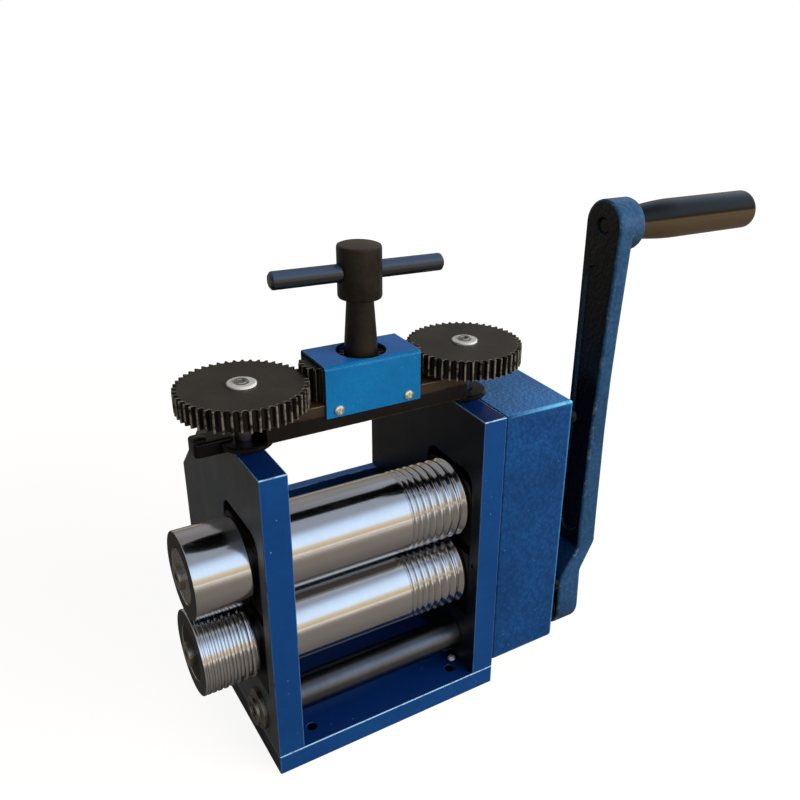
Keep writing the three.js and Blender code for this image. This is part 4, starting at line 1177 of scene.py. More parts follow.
def line(piece: bpy.types.Object, finish: Finish, is_lined: Callable[[Vector, Vector], bool]) -> None:
    """Gives a second finish to the faces that a test picks.

    Args:
        piece: Piece that is lined.
        finish: The second finish.
        is_lined: Test of a face's centre, in millimetres, and its normal.
    """
    mesh = piece.data
    mesh.materials.append(finish.material())
    for face in mesh.polygons:
        face.material_index = int(is_lined(face.center / MM, face.normal))


def refinish(finish: Finish, *nodes: str, edge: float = 0.0) -> None:
    """Gives CAD nodes a finish, and soft edges if asked.

    Args:
        finish: Their finish.
        nodes: Names of the CAD nodes.
        edge: Radius of their edges in millimetres, or 0 to leave them.
    """
    for node in nodes:
        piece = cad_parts[node]
        piece.data.materials.clear()
        piece.data.materials.append(finish.material())
        if edge:
            piece.modifiers.new("weld", "WELD").merge_threshold = TINY
            bevel = piece.modifiers.new("edges", "BEVEL")
            bevel.width = edge * MM
            bevel.segments = 2
            bevel.limit_method = "ANGLE"
            bevel.angle_limit = math.radians(40)
        log.info("%s: CAD node with %s", node, finish.name)


# ------------------------------------------------------------------ the mill's assemblies


@dataclass
class MillFrame:
    """Base, side plates and what ties them together."""

    half_width: float = 69.0
    half_depth: float = 65.0
    height: float = 183.0
    base: float = 12.6
    plate: float = 14.4
    chamfer: float = 52.0
    roll_y: float = -31.7
    slot_half: float = 24.0
    slot_low: float = 49.7
    slot_high: float = 146.5
    slot_corner: float = 9.0
    screw_bore: float = 5.3
    crank_at: Point2 = (-49.0, 33.0)
    edge: float = 0.7
    mount_holes: tuple[Point2, ...] = ((-45.3, -53.0), (45.3, -53.0), (-45.3, 46.0), (45.3, 46.0))
    mount_bore: float = 2.75
    pin_at: Point2 = (51.2, -46.3)
    pit_at: Point2 = (-59.4, 88.5)
    rod_at: Point2 = (-41.5, 29.2)
    tie_top: float = 97.5
    tie_thick: float = 7.0

    @property
    def inner_x(self) -> float:
        """Inner face of the side plates."""
        return self.half_width - self.plate

    @property
    def screw_x(self) -> float:
        """Axis of the pressure screws."""
        return self.half_width - self.plate / 2

    def profile(self, bottom: float, corner: float = 0.8) -> Outline:
        """Outline of the plates and the casing.

        Args:
            bottom: Height that it starts at.
            corner: Radius of its corners.

        Returns:
            The outline.
        """
        rear, front, top = self.half_depth, -self.half_depth, self.height
        corners = [(front, bottom), (rear, bottom), (rear, top - self.chamfer), (rear - self.chamfer, top)]
        corners.append((front, top))
        return soften(corners, corner, steps=4) if corner else corners

    def slot(self) -> Outline:
        """Draws the bearing slot.

        Returns:
            Its outline.
        """
        front, rear = self.roll_y - self.slot_half, self.roll_y + self.slot_half
        r = self.slot_corner
        points = [(front, self.slot_low), (rear, self.slot_low)]
        points += arc(rear - r, self.slot_high - r, r, 0, 90, 12)
        points += arc(front + r, self.slot_high - r, r, 90, 180, 12)
        return points

    def in_slot(self, centre: Vector, normal: Vector) -> bool:
        """Tests whether a face is on the bearing slot's wall.

        Args:
            centre: The face's centre.
            normal: The face's normal.

        Returns:
            Whether it is.
        """
        play, most_sideways = 0.4, 0.3
        is_within = abs(centre.y - self.roll_y) < self.slot_half + play
        is_level = self.slot_low - play < centre.z < self.slot_high + play
        return is_within and is_level and abs(normal.x) < most_sideways

    def in_mount(self, centre: Vector, normal: Vector) -> bool:
        """Tests whether a face is on the wall of a hole for a bench bolt.

        Args:
            centre: The face's centre.
            normal: The face's normal.

        Returns:
            Whether it is.
        """
        play, most_upward = 0.25, 0.5
        nearest = min((centre.xy - Vector(hole)).length for hole in self.mount_holes)
        return nearest < self.mount_bore + play and abs(normal.z) < most_upward

    def side_plate(self, side: Side) -> None:
        """Builds one side plate with its slot and the bore of its pressure screw.

        Args:
            side: Side of the plate.
        """
        x0 = self.inner_x if side is Side.RIGHT else -self.half_width
        holes = [self.slot(), circle(*self.rod_at, 5.3, 40)]
        plate = slab(self.profile(self.base), x0, x0 + self.plate, Axis.X, holes, edge=self.edge)
        bore = cylinder(self.screw_bore, self.slot_high - 2, self.height + 1, segments=48)
        tools = [bore.moved(side.value * self.screw_x, self.roll_y)]
        if side is Side.RIGHT:
            pit = cylinder(1.3, -2.0, 1.0, Axis.X, 20)
            tools.append(pit.moved(self.inner_x, *self.pit_at))
        finish = FRAME_BLUE if side is Side.RIGHT else OUTER_BLUE
        piece = dress(f"{side.word}_plate_body", carved(plate, *tools), finish, f"{side.word}_side_plate")
        # painted shade on the walls of the bearing slot
        line(piece, BRONZE_PAINTED_SHADE, self.in_slot)

    def build(self) -> None:
        """Builds and dresses the frame."""
        outline = soften(rectangle(-self.half_width, -self.half_depth, self.half_width, self.half_depth), 0.9)
        holes = [circle(x, y, self.mount_bore, 40) for x, y in self.mount_holes]
        base = slab(outline, 0, self.base, holes=holes, edge=self.edge)
        # painted shade on the walls of the bench bolt holes
        line(dress("base_body", base, FRAME_BLUE, "base_plate"), BRONZE_PAINTED_SHADE, self.in_mount)
        for side in Side:
            self.side_plate(side)
        # small dome whose white colour is a painted highlight
        pin = lathe([(0, -0.1), (2.5, -0.1), (2.5, 0.5), (2.2, 1.2), (1.4, 1.75), (0, 2.0)], segments=40)
        dress("base_pin", pin.moved(*self.pin_at, self.base), PIN_PAINTED_GLINT)
        outline = rectangle(-self.inner_x, self.base, self.inner_x, self.tie_top)
        tie = slab(outline, self.half_depth - self.tie_thick, self.half_depth, Axis.Y, edge=0.6)
        # lighter paint as painted light on the tie plate, which stands in shade
        dress("tie_plate_body", tie, TIE_PAINTED_LIGHT, "rear_tie_plate")
        self.rod()

    def rod(self) -> None:
        """Builds the front tie rod and its bolt."""
        inner, outer = self.inner_x, self.half_width
        profile = [(0, -inner), (9.7, -inner), (9.7, inner), (5, inner), (5, outer - 0.2), (0, outer - 0.2)]
        rod = lathe(profile, Axis.X, edge=0.5).moved(0, *self.rod_at)
        dress("tie_rod_body", rod, SHAFT_STEEL, "front_tie_rod")
        profile = [(4.9, -74), (8.4, -74), (8.4, -72.6), (11.5, -71.4), (11.5, -69), (5, -69), (5, -45), (0, -45)]
        profile += [(0, -71), (4.9, -71), (4.9, -74)]
        socket = slab(circle(0, 0, 4.9, 48), -73.4, -71, Axis.X, [circle(0, 0, 3.6, 6)], edge=0.2)
        bolt = lathe(profile, Axis.X, edge=0.35).join(socket).moved(0, *self.rod_at)
        dress("tie_bolt_body", bolt, DULL_ZINC, "tie_bolt")


@dataclass
class Assembly:
    """Part of the mill that is placed by the mill's frame."""

    mill: MillFrame

    def build(self) -> None:
        """Builds and dresses the assembly's pieces."""
        raise NotImplementedError


@dataclass
class Bearings(Assembly):
    """Bearing blocks in the slots and the springs between them."""

    behind: float = 18.2
    coil: float = 2.8
    wire: float = 0.6
    turns: int = 4
    steps: int = 28
    low: float = 90.3
    high: float = 102.0

    def build(self) -> None:
        """Dresses the blocks and winds the springs."""
        for side in Side:
            # bearing blocks darkened as painted shade between the plates
            refinish(BRONZE_PAINTED_SHADE, f"lower_bearing_{side.word}", f"upper_bearing_{side.word}", edge=0.3)
            centre = Vector((side.value * self.mill.screw_x, self.mill.roll_y + self.behind, 0))
            path = []
            steps = self.turns * self.steps
            for i in range(steps + 1):
                angle = 2 * math.pi * self.turns * i / steps
                height = self.low + (self.high - self.low) * i / steps
                path.append(centre + Vector((self.coil * math.cos(angle), self.coil * math.sin(angle), height)))
            dress(f"{side.word}_spring_coil", tube(path, self.wire), SPRING_WIRE, f"lift_spring_{side.word}")


@dataclass
class Roll(Assembly):
    """One roll with its extension roll, washer and end bolt."""

    level: str
    axis_z: float
    spigot_x: float
    is_grooved: bool
    radius: float = 23.0
    end_x: float = 54.2
    journal: float = 13.0
    spigot: float = 9.0
    stub: float = 8.3
    inner_x: float = -71.5
    outer_x: float = -99.8
    edge: float = 0.6
    land: float = 1.1

    def wire_grooves(self) -> Outline:
        """Draws the V grooves for wire, which widen towards the right end.

        Returns:
            Their part of the roll's profile.
        """
        points: Outline = []
        x, r, near, half_floor = self.end_x - 1.6, self.radius, 0.16, 0.12
        for i in range(7, -1, -1):
            width = 1.9 + i * 0.42
            groove = [
                (r, x - width - near), (r - near * 0.6, x - width + near * 0.4),
                (r - width / 2, x - width / 2 - half_floor), (r - width / 2, x - width / 2 + half_floor),
                (r - near * 0.6, x - near * 0.4), (r, x + near),
            ]
            points = groove + points
            x -= width + self.land
        return points

    def round_grooves(self) -> Outline:
        """Draws the half-round grooves, which widen inward from the outer end.

        Returns:
            Their part of the roll's profile.
        """
        points: Outline = []
        x = self.outer_x + self.land
        for i in range(8):
            half = (1.3 + i * 0.27) / 2
            for step in range(9):
                angle = math.pi * step / 8
                points.append((self.radius - half * math.sin(angle), x + half * (1 - math.cos(angle))))
            x += 2 * half + self.land
        return points

    def rim(self, x: float, way: int) -> Outline:
        """Softened corner at one end of the working face, which lies that way along X."""
        r, e = self.radius, self.edge
        return [(r - e, x), (r - e * 0.3, x + way * e * 0.3), (r, x + way * e)]

    def build(self) -> None:
        """Builds and dresses the roll."""
        end, x0, x1, stub = self.end_x, self.outer_x, self.inner_x, self.stub
        barrel = [(0, -93.7), (8, -93.7), (8, x1), (self.journal, x1), (self.journal, -end)]
        barrel += self.rim(-end, 1) + self.wire_grooves() + self.rim(end, -1)[::-1]
        barrel += [(self.journal, end), (self.journal, 72.3), (self.spigot, 72.3)]
        barrel += [(self.spigot, self.spigot_x), (0, self.spigot_x)]
        ring = [(stub, x1), (stub, x0 + 3.2), (14.6, x0 + 3.2), (14.6, x0 + 0.3), (14.9, x0)]
        ring += self.rim(x0, 1) + (self.round_grooves() if self.is_grooved else [])
        ring += self.rim(x1, -1)[::-1] + [(stub, x1)]
        disc = [(3.3, -99.6), (14.2, -99.6), (14.2, -96.6), (3.3, -96.6), (3.3, -99.6)]
        bolt = socket_screw(6.6, 2.8, 2.9, 13.0, 3.0).turned(-90, Axis.Y).moved(-99.6)
        washer = SHAFT_STEEL if self.is_grooved else WASHER_GREY
        for name, form, finish, node, sharp in (
            ("roll_barrel", lathe(barrel, Axis.X, 160), ROLL_STEEL, "roll", 33.0),
            ("extension_ring", lathe(ring, Axis.X, 160), ROLL_STEEL, "extension_roll", 33.0),
            ("washer_disc", lathe(disc, Axis.X, edge=0.4), washer, "end_washer", SHARP),
            ("bolt_head", bolt, NICKEL, "end_bolt", SHARP),
        ):
            form = form.moved(0, self.mill.roll_y, self.axis_z)
            dress(f"{self.level}_{name}", form, finish, f"{self.level}_{node}", f"{self.level}_roll_group", sharp)
        refinish(INNER_STEEL, f"{self.level}_roll_gear")


@dataclass
class AdjustingTrain(Assembly):
    """Seats, bridge bar, pressure screws and the gears that turn them."""

    module: float = 123.6 / 99
    big_teeth: int = 48
    small_teeth: int = 17
    gear_low: float = 205.7
    gear_high: float = 216.5
    idler_low: float = 203.3
    idler_high: float = 220.3
    bar_low: float = 189.0
    bar_high: float = 203.0
    spindle_tooth: float = math.pi / 2

    def seat(self, side: Side) -> None:
        """Builds a screw seat. The left one has a lug with a clamping screw at its end.

        Args:
            side: Side of the seat.
        """
        mill = self.mill
        low, top, bore = mill.height, mill.height + 6, mill.screw_bore
        ring = [(bore, low), (7.1, low), (7.1, low + 2.2), (12.2, low + 2.9), (13, low + 3.6), (13, top - 0.9)]
        ring += [(12.1, top), (bore, top), (bore, low)]
        seat = lathe(ring, edge=0.3)
        if side is Side.LEFT:
            outline = soften(rectangle(-24.7, 0, -5.6, 12), 2.6, steps=5)
            lug = slab(outline, low, low + 7.4, edge=1.1, edge_low=0.4)
            head = lathe([(0, 0), (3.3, 0), (3.1, 0.5), (2.0, 0.85), (0, 0.95)], segments=40)
            seat = seat.join(lug).join(head.moved(-20.6, 5.6, low + 7.4))
        seat = seat.moved(side.value * mill.screw_x, mill.roll_y)
        dress(f"{side.word}_seat_ring", seat, SEAT_BLACK, f"screw_seat_{side.word}")

    def bridge(self) -> None:
        """Builds the bar that carries the spindle and the idlers."""
        hole = circle(0, 0, 5.3, 40)
        bar = slab(rectangle(-56, -13, 56, 13), self.bar_low, self.bar_high, holes=[hole], edge=0.8)
        sink = cylinder(7.3, self.bar_low - 2, self.bar_low + 3, segments=48)
        mesh = carved(bar.moved(0, self.mill.roll_y), sink.moved(0, self.mill.roll_y))
        dress("bridge_beam", mesh, BAR_OXIDE, "bridge_bar")
        refinish(INNER_STEEL, "idler_pin_left", "idler_pin_right", edge=0.3)

    def gear(self, teeth: int, tooth_at: float, bore_flats: int, span: Point2, **depths: float) -> Form:
        """Gear about the origin.

        Args:
            teeth: Number of its teeth.
            tooth_at: Angle of a tooth's middle, in radians.
            bore_flats: Flats around its bore.
            span: Its lower and upper face.
            depths: Height or depth of its teeth where it isn't the usual one, in modules.

        Returns:
            The gear.
        """
        outline = gear_outline(self.module, teeth, tooth_at, **depths)
        return slab(outline, *span, holes=[circle(0, 0, 4.3, bore_flats)], edge=0.28, steps=2)

    def screw(self, side: Side) -> None:
        """Builds a pressure screw with its gear, washer and screw, and the idler beside it.

        Args:
            side: Side of the pressure screw.
        """
        roll_y = self.mill.roll_y
        way = 0.0 if side is Side.RIGHT else math.pi
        idler_at = mating_tooth(way, self.spindle_tooth, self.small_teeth, self.small_teeth)
        gear_at = mating_tooth(way, idler_at, self.small_teeth, self.big_teeth)
        gear = self.gear(self.big_teeth, gear_at, 48, (self.gear_low, self.gear_high), below=0.85)
        z, foot = self.gear_high, self.gear_low
        ring = [(2.1, z), (7, z), (7, z + 0.9), (6.4, z + 1.2), (3.9, z + 1.2), (3.6, z + 0.9), (2.1, z + 0.9)]
        cap = socket_screw(3.3, 1.3, 1.75, 6.0, 1.8, crown=0.45)
        rod = [(0, 141.3), (4, 141.3), (5, 142.3), (5, foot), (4, foot), (4, 216.2), (2.1, 216.2), (2.1, 207.7)]
        rod = lathe(rod + [(0, 207.7)], segments=48)
        for name, form, lift, finish, node, sharp in (
            ("big_gear", gear, 0, GEAR_OXIDE, "adjusting_gear", 42.0),
            ("washer", lathe(ring + ring[:1], edge=0.12), 0, WASHER_NICKEL, "gear_washer", SHARP),
            ("cap_screw", cap, z + 0.9, NICKEL, "gear_screw", SHARP),
            ("pressure_screw_rod", rod, 0, SHAFT_STEEL, "pressure_screw", SHARP),
        ):
            form = form.moved(side.value * self.mill.screw_x, roll_y, lift)
            dress(f"{side.word}_{name}", form, finish, f"{node}_{side.word}", f"{side.word}_screw_group", sharp)
        idler = self.gear(self.small_teeth, idler_at, 40, (self.idler_low, self.idler_high), above=0.65)
        idler = idler.moved(side.value * self.module * self.small_teeth, roll_y)
        name, node = f"{side.word}_idler_gear_body", f"idler_gear_{side.word}"
        dress(name, idler, GEAR_OXIDE, node, f"{side.word}_idler", 42.0)

    def build(self) -> None:
        """Builds and dresses the train."""
        self.bridge()
        for side in Side:
            self.seat(side)
            self.screw(side)
        refinish(GEAR_OXIDE, "spindle_pinion")
        refinish(INNER_STEEL, "spindle_screw")


@dataclass
class GearCover(Assembly):
    """Folded sheet cover over the idlers, with its four screws."""

    half_length: float = 26.1
    low: float = 196.0
    high: float = 222.8
    half_depth: float = 14.5
    sheet: float = 1.5
    bend: float = 2.4
    hole: float = 12.6
    screw_x: float = 19.35
    screw_z: float = 199.6

    def outline(self) -> Outline:
        """Draws the cross section of the folded sheet.

        Returns:
            Its outline as (y, z).
        """
        y, r, t, z = self.half_depth, self.bend, self.sheet, self.high - self.bend
        outer = [(-y, self.low)] + arc(r - y, z, r, 180, 90, 8) + arc(y - r, z, r, 90, 0, 8) + [(y, self.low)]
        inner = [(y - t, self.low)] + arc(y - r, z, r - t, 0, 90, 8) + arc(r - y, z, r - t, 90, 180, 8)
        return outer + inner + [(t - y, self.low)]

    def screw(self, x: float, facing: int) -> bpy.types.Mesh:
        """Pan head screw with a cross recess.

        Args:
            x: Place of its axis along X.
            facing: Sign of the way along Y that its head faces.

        Returns:
            The screw in place.
        """
        head = [(0, -7), (1.5, -7), (1.5, 0), (2.7, 0), (2.66, 0.45), (2.3, 0.95), (1.6, 1.3)]
        head += [(0.8, 1.47), (0, 1.5)]
        bar = slab([(-2.1, 1.7), (-0.7, 0.4), (0.7, 0.4), (2.1, 1.7)], -0.46, 0.46, Axis.Y, edge=0)
        mesh = carved(lathe(head, segments=48), bar.turned(20, Axis.Z), bar.turned(110, Axis.Z))
        turn = Matrix.Rotation(math.radians(90) * -facing, 4, "X")
        at = Vector((x, self.mill.roll_y + facing * self.half_depth, self.screw_z)) * MM
        mesh.transform(Matrix.Translation(at) @ turn)
        return mesh

    def build(self) -> None:
        """Builds and dresses the cover and its screws."""
        sheet = slab(self.outline(), -self.half_length, self.half_length, Axis.X, edge=0.2)
        punch = cylinder(self.hole, 215, 226)
        mesh = carved(sheet.moved(0, self.mill.roll_y), punch.moved(0, self.mill.roll_y))
        dress("cover_sheet", mesh, COVER_BLUE, "gear_cover")
        for end, facing in (("front", -1), ("rear", 1)):
            for side in Side:
                place = f"{end}_{side.word}"
                mesh = self.screw(side.value * self.screw_x, facing)
                dress(f"pan_screw_{place}", mesh, ZINC, f"cover_screw_{place}")


@dataclass
class THandle(Assembly):
    """Stem with its head, and the bar through it."""

    foot: float = 8.6
    neck: float = 6.7
    foot_z: float = 220.6
    neck_z: float = 250.0
    head: float = 10.9
    top_z: float = 276.0
    bar_z: float = 263.0
    bar: float = 4.4
    half_bar: float = 44.5
    turn: float = -3.0

    def build(self) -> None:
        """Builds and dresses the handle."""
        z0, z1, z2, r, neck = self.foot_z, self.neck_z, self.top_z, self.head, self.neck
        stem = [(0, z0 + 12), (5.3, z0 + 12), (5.3, z0), (self.foot - 0.3, z0), (self.foot, z0 + 0.3)]
        stem += [(neck, z1 - 0.9), (neck + 0.25, z1 - 0.3), (neck + 0.9, z1), (r - 1.2, z1), (r - 0.35, z1 + 0.35)]
        stem += [(r, z1 + 1.2), (r, z2 - 1.2), (r - 0.35, z2 - 0.35), (r - 1.2, z2), (0, z2)]
        b, h = self.bar, self.half_bar
        bore = cylinder(b + 0.35, -13, 13, Axis.X, 64)
        mesh = carved(lathe(stem), bore.turned(self.turn, Axis.Z).moved(0, 0, self.bar_z))
        mesh.transform(Matrix.Translation((0, self.mill.roll_y * MM, 0)))
        dress("handle_stem", mesh, HANDLE_OXIDE, "t_handle_stem", "t_handle")
        half = [(0, h), (b - 1.3, h), (b - 0.2, h - 0.9), (b, h - 1.4)]
        bar = lathe([(y, -x) for y, x in half] + half[::-1], Axis.X, 64)
        bar = bar.turned(self.turn, Axis.Z).moved(0, self.mill.roll_y, self.bar_z)
        dress("cross_bar", bar, BAR_BLACK, "t_handle_bar", "t_handle")


@dataclass
class GearCasing(Assembly):
    """Casing on the right plate, its screws and bush, and the drive inside it."""

    outer_x: float = 115.4
    bottom: float = 17.0
    wall: float = 3.0
    fold: float = 2.6
    screws: tuple[tuple[str, float, float], ...] = (
        ("upper_front", -60.35, 171.0), ("lower_front", -60.35, 54.0),
        ("upper_rear", 60.35, 121.0), ("lower_rear", 60.35, 30.0),
    )

    def build(self) -> None:
        """Builds and dresses the casing."""
        outline, x0, x1 = self.mill.profile(self.bottom, 2.2), self.mill.half_width, self.outer_x
        hollow = offset(self.mill.profile(self.bottom, 0), self.wall)
        shell = slab(outline, x0, x1, Axis.X, edge=self.fold, edge_low=1.2, steps=5, is_low_worn=False)
        room = slab(hollow, x0 - 1, x1 - self.wall, Axis.X, edge=0)
        bore = cylinder(13.3, 100, 120, Axis.X, 64).moved(0, *self.mill.crank_at)
        dress("casing_shell", carved(shell, room, bore), CASING_BLUE, "gear_casing")
        for place, y, z in self.screws:
            screw = socket_screw(4.4, 3.0, 2.3, 53.4, 2.5).turned(90, Axis.Y).moved(x1, y, z)
            dress(f"casing_cap_{place}", screw, SEAT_BLACK, f"casing_screw_{place}")
        ring = [(7.3, 100.3), (10.3, 100.3), (10.3, x1), (14, x1), (14, x1 + 3), (7.3, x1 + 3), (7.3, 100.3)]
        bush = lathe(ring, Axis.X, 64, edge=0.4).moved(0, *self.mill.crank_at)
        dress("bush_flange", bush, BRONZE_PAINTED_SHADE, "crank_bush")
        refinish(INNER_STEEL, "transfer_pin", "main_gear", "transfer_gear")


@dataclass
class Crank(Assembly):
    """Cast arm with its hub and boss, and the grip that turns on its spindle.

    Heights run along the arm from the shaft's axis.
    """

    lean: float = 1.3
    length: float = 244.0
    hub: float = 15.6
    boss: float = 14.0
    hub_x: float = 119.0
    hub_out: float = 136.0
    arm_x: float = 132.3
    foot_out: float = 146.0
    arm_out: float = 142.7
    boss_out: float = 150.5
    edge: float = 2.0
    waist: tuple[Point2, ...] = ((61, 12.0), (122, 11.4), (190.3, 12.6))
    panel_low: float = 52.0
    panel_high: float = 222.0
    panel_margin: float = 2.6
    panel_depth: float = 1.5
    panel_slope: float = 1.3
    grip_x: float = 153.8
    grip_end: float = 244.3

    def at_top(self, form: Form) -> Form:
        """Moves a form to the arm's top, with the arm's lean."""
        return self.set_up(form.moved(0, 0, self.length))

    def set_up(self, form: Form) -> Form:
        """Turns a form by the arm's lean and moves it to the shaft."""
        return form.turned(self.lean, Axis.X).moved(0, *self.mill.crank_at)

    def half_width(self, z: float) -> float:
        """Half width of the arm.

        Args:
            z: Height on the arm.

        Returns:
            The half width there.
        """
        if z <= 0:
            return math.sqrt(max(self.hub**2 - z**2, 0))
        if z >= self.length:
            return math.sqrt(max(self.boss**2 - (z - self.length) ** 2, 0))
        marks = [(0, self.hub), *self.waist, (self.length, self.boss)]
        (z0, w0), (z1, w1) = next(pair for pair in zip(marks, marks[1:]) if z <= pair[1][0])
        return w0 + (w1 - w0) * ((z - z0) / (z1 - z0))

    def faces_at(self, z: float) -> tuple[float, float]:
        """Places of the arm's faces.

        Args:
            z: Height on the arm.

        Returns:
            X of the inner and of the outer face there.
        """

        def share(low: float, span: float) -> float:
            """How far the height is through a stretch of the arm."""
            return min(max((z - low) / span, 0), 1)

        joggle = share(23, 22)
        bend = joggle * joggle * (3 - 2 * joggle) * 0.5 + joggle * 0.5
        inner = self.hub_x + (self.arm_x - self.hub_x) * bend
        outer = self.hub_out + (self.foot_out - self.hub_out) * share(27, 18)
        return inner, outer - (self.foot_out - self.arm_out) * share(61, 97.6)

    def panel(self, z: float) -> float:
        """Half width of the sunk panel on the inner face.

        Args:
            z: Height on the arm.

        Returns:
            The half width there, or 0 beyond the panel.
        """
        if not self.panel_low < z < self.panel_high:
            return 0.0
        full = self.half_width(z) - self.edge - self.panel_margin
        for reach in (z - self.panel_low, self.panel_high - z):
            if reach < full:
                full = min(full, math.sqrt(max(full**2 - (full - reach) ** 2, 0)))
        return full

    def heights(self) -> list[float]:
        """Spreads the outline's points, closer together where it bends.

        Returns:
            Their heights.
        """
        sines = [math.sin(math.pi / 2 * i / 16) for i in range(17)]
        ends = [-self.hub * math.cos(math.pi / 2 * i / 16) for i in range(16)]
        middle = [0.0] + [4 + 2.0 * i for i in range(24)]
        step = 54.0
        while step < self.length - 1:
            middle.append(step)
            if step < self.length - 34:
                step += 0.8 if step < 62 else 6.0
            else:
                step += 1.2
        return ends + middle + [self.length + self.boss * sine for sine in sines]

    def arm(self) -> Form:
        """Builds the cast arm with rounded edges and a sunk panel on its inner face.

        Returns:
            The arm, upright above the origin.
        """
        heights = self.heights()
        right = [(self.half_width(z), z) for z in heights]
        outline = right + [(-w, z) for w, z in reversed(right[1:-1])]
        count = len(outline)
        form = Form()
        rows = []
        corner = rounding(self.edge, 4)
        for is_outer, rings in ((False, corner), (True, corner[::-1])):
            for inset, sink in rings:
                spots = []
                for y, z in offset(outline, inset):
                    inner, outer = self.faces_at(z)
                    spots.append(Vector((outer - sink if is_outer else inner + sink, y, z)))
                is_marked = 0.05 < inset < self.edge * 0.95
                rows.append(form.add(spots, [float(is_marked)] * count))
        for low, high in zip(rows, rows[1:]):
            form.strip(low, high)
        last = rows[-1]
        for i in range(1, len(heights) - 1):
            form.faces.append((last[i], last[i + 1], last[(count - i - 1) % count], last[count - i]))
        form.faces.append((last[0], last[1], last[count - 1]))
        self.sink_panel(form, len(heights), count)
        return form

    def sink_panel(self, form: Form, rows: int, count: int) -> None:
        """Closes the inner face with the sunk panel.

        Args:
            form: The arm, whose first points are the inner face's outline.
            rows: Points of the outline up one side, both ends among them.
            count: Points of the whole outline.
        """
        slices = []
        for i in range(rows):
            z = form.points[i].z
            half = self.panel(z)
            inner, wall = self.faces_at(z)[0], self.panel_slope if half else 0.0
            sunk = self.panel_depth * min(half / 2.5, 1.0) if half else 0.0
            across = ((half + wall, 0.0), (half, sunk), (0.0, sunk), (-half, sunk), (-half - wall, 0.0))
            numbers = form.add([Vector((inner + deep, y, z)) for y, deep in across])
            slices.append([i, *numbers, (count - i) % count])
        for low, high in zip(slices, slices[1:]):
            for a in range(len(low) - 1):
                form.faces.append((low[a], low[a + 1], high[a + 1], high[a]))

    def build(self) -> None:
        """Builds and dresses the crank."""
        recess = cylinder(4.9, 130, 134.2, Axis.X, 48).moved(0, 0, self.length)
        mesh = carved(self.arm(), recess)
        b, out = self.boss, self.boss_out
        profile = [(0, 140), (b, 140), (b, out - 1.6), (b - 0.5, out - 0.5), (b - 1.6, out), (0, out)]
        boss = lathe(profile, Axis.X).moved(0, 0, self.length).mesh("boss")
        work = bmesh.new()
        work.from_mesh(mesh)
        work.from_mesh(boss)
        work.to_mesh(mesh)
        work.free()
        lean = Matrix.Rotation(math.radians(self.lean), 4, "X")
        y, z = self.mill.crank_at
        mesh.transform(Matrix.Translation((0, y * MM, z * MM)) @ lean)
        smooth(mesh, 40)
        dress("arm_casting", mesh, ARM_BLUE, "crank_arm", "crank")
        screw = socket_screw(9.5, 3.0, 3.4, 14.0, 3.0).turned(90, Axis.Y).moved(self.hub_out, 0, 0)
        dress("hub_screw", self.set_up(screw), NICKEL, "crank_screw", "crank")
        refinish(INNER_STEEL, "crank_shaft", edge=0.2)
        end = self.grip_end - 3.7
        profile = [(0, 133.5), (3.6, 133.5), (4, 134.0), (4, 150.5), (7, 150.5), (7, 153.5), (4, 153.5), (4, end)]
        profile += [(6, end), (6, end + 1.4), (4.9, end + 2.5), (0, end + 2.5)]
        spindle = self.at_top(lathe(profile, Axis.X, 64, edge=0.3))
        dress("spindle_rivet", spindle, HANDLE_OXIDE, "grip_spindle", "crank")
        self.grip()

    def grip(self) -> None:
        """Builds the turned grip."""
        x0, x1 = self.grip_x, self.grip_end
        profile = [(4.3, x0), (8.2, x0), (8.8, x0 + 0.3), (9.0, x0 + 1.0)]
        for t in (i / 8 for i in range(1, 9)):
            profile.append((9.0 + 1.9 * math.sin(math.pi / 2 * t) ** 1.1, x0 + 1.0 + 27 * t))
        profile += [(10.9, x1 - 4)]
        for a in (math.pi / 2 * i / 6 for i in range(1, 7)):
            profile.append((6.9 + 4.0 * math.cos(a), x1 - 4 + 4.0 * math.sin(a)))
        profile += [(6.5, x1), (6.3, x1 - 0.3), (6.3, x1 - 4.2), (4.3, x1 - 4.2), (4.3, x0)]
        dress("grip_handle", self.at_top(lathe(profile, Axis.X)), GRIP_BLACK, "grip", "grip_body")


# ------------------------------------------------------------------ studio


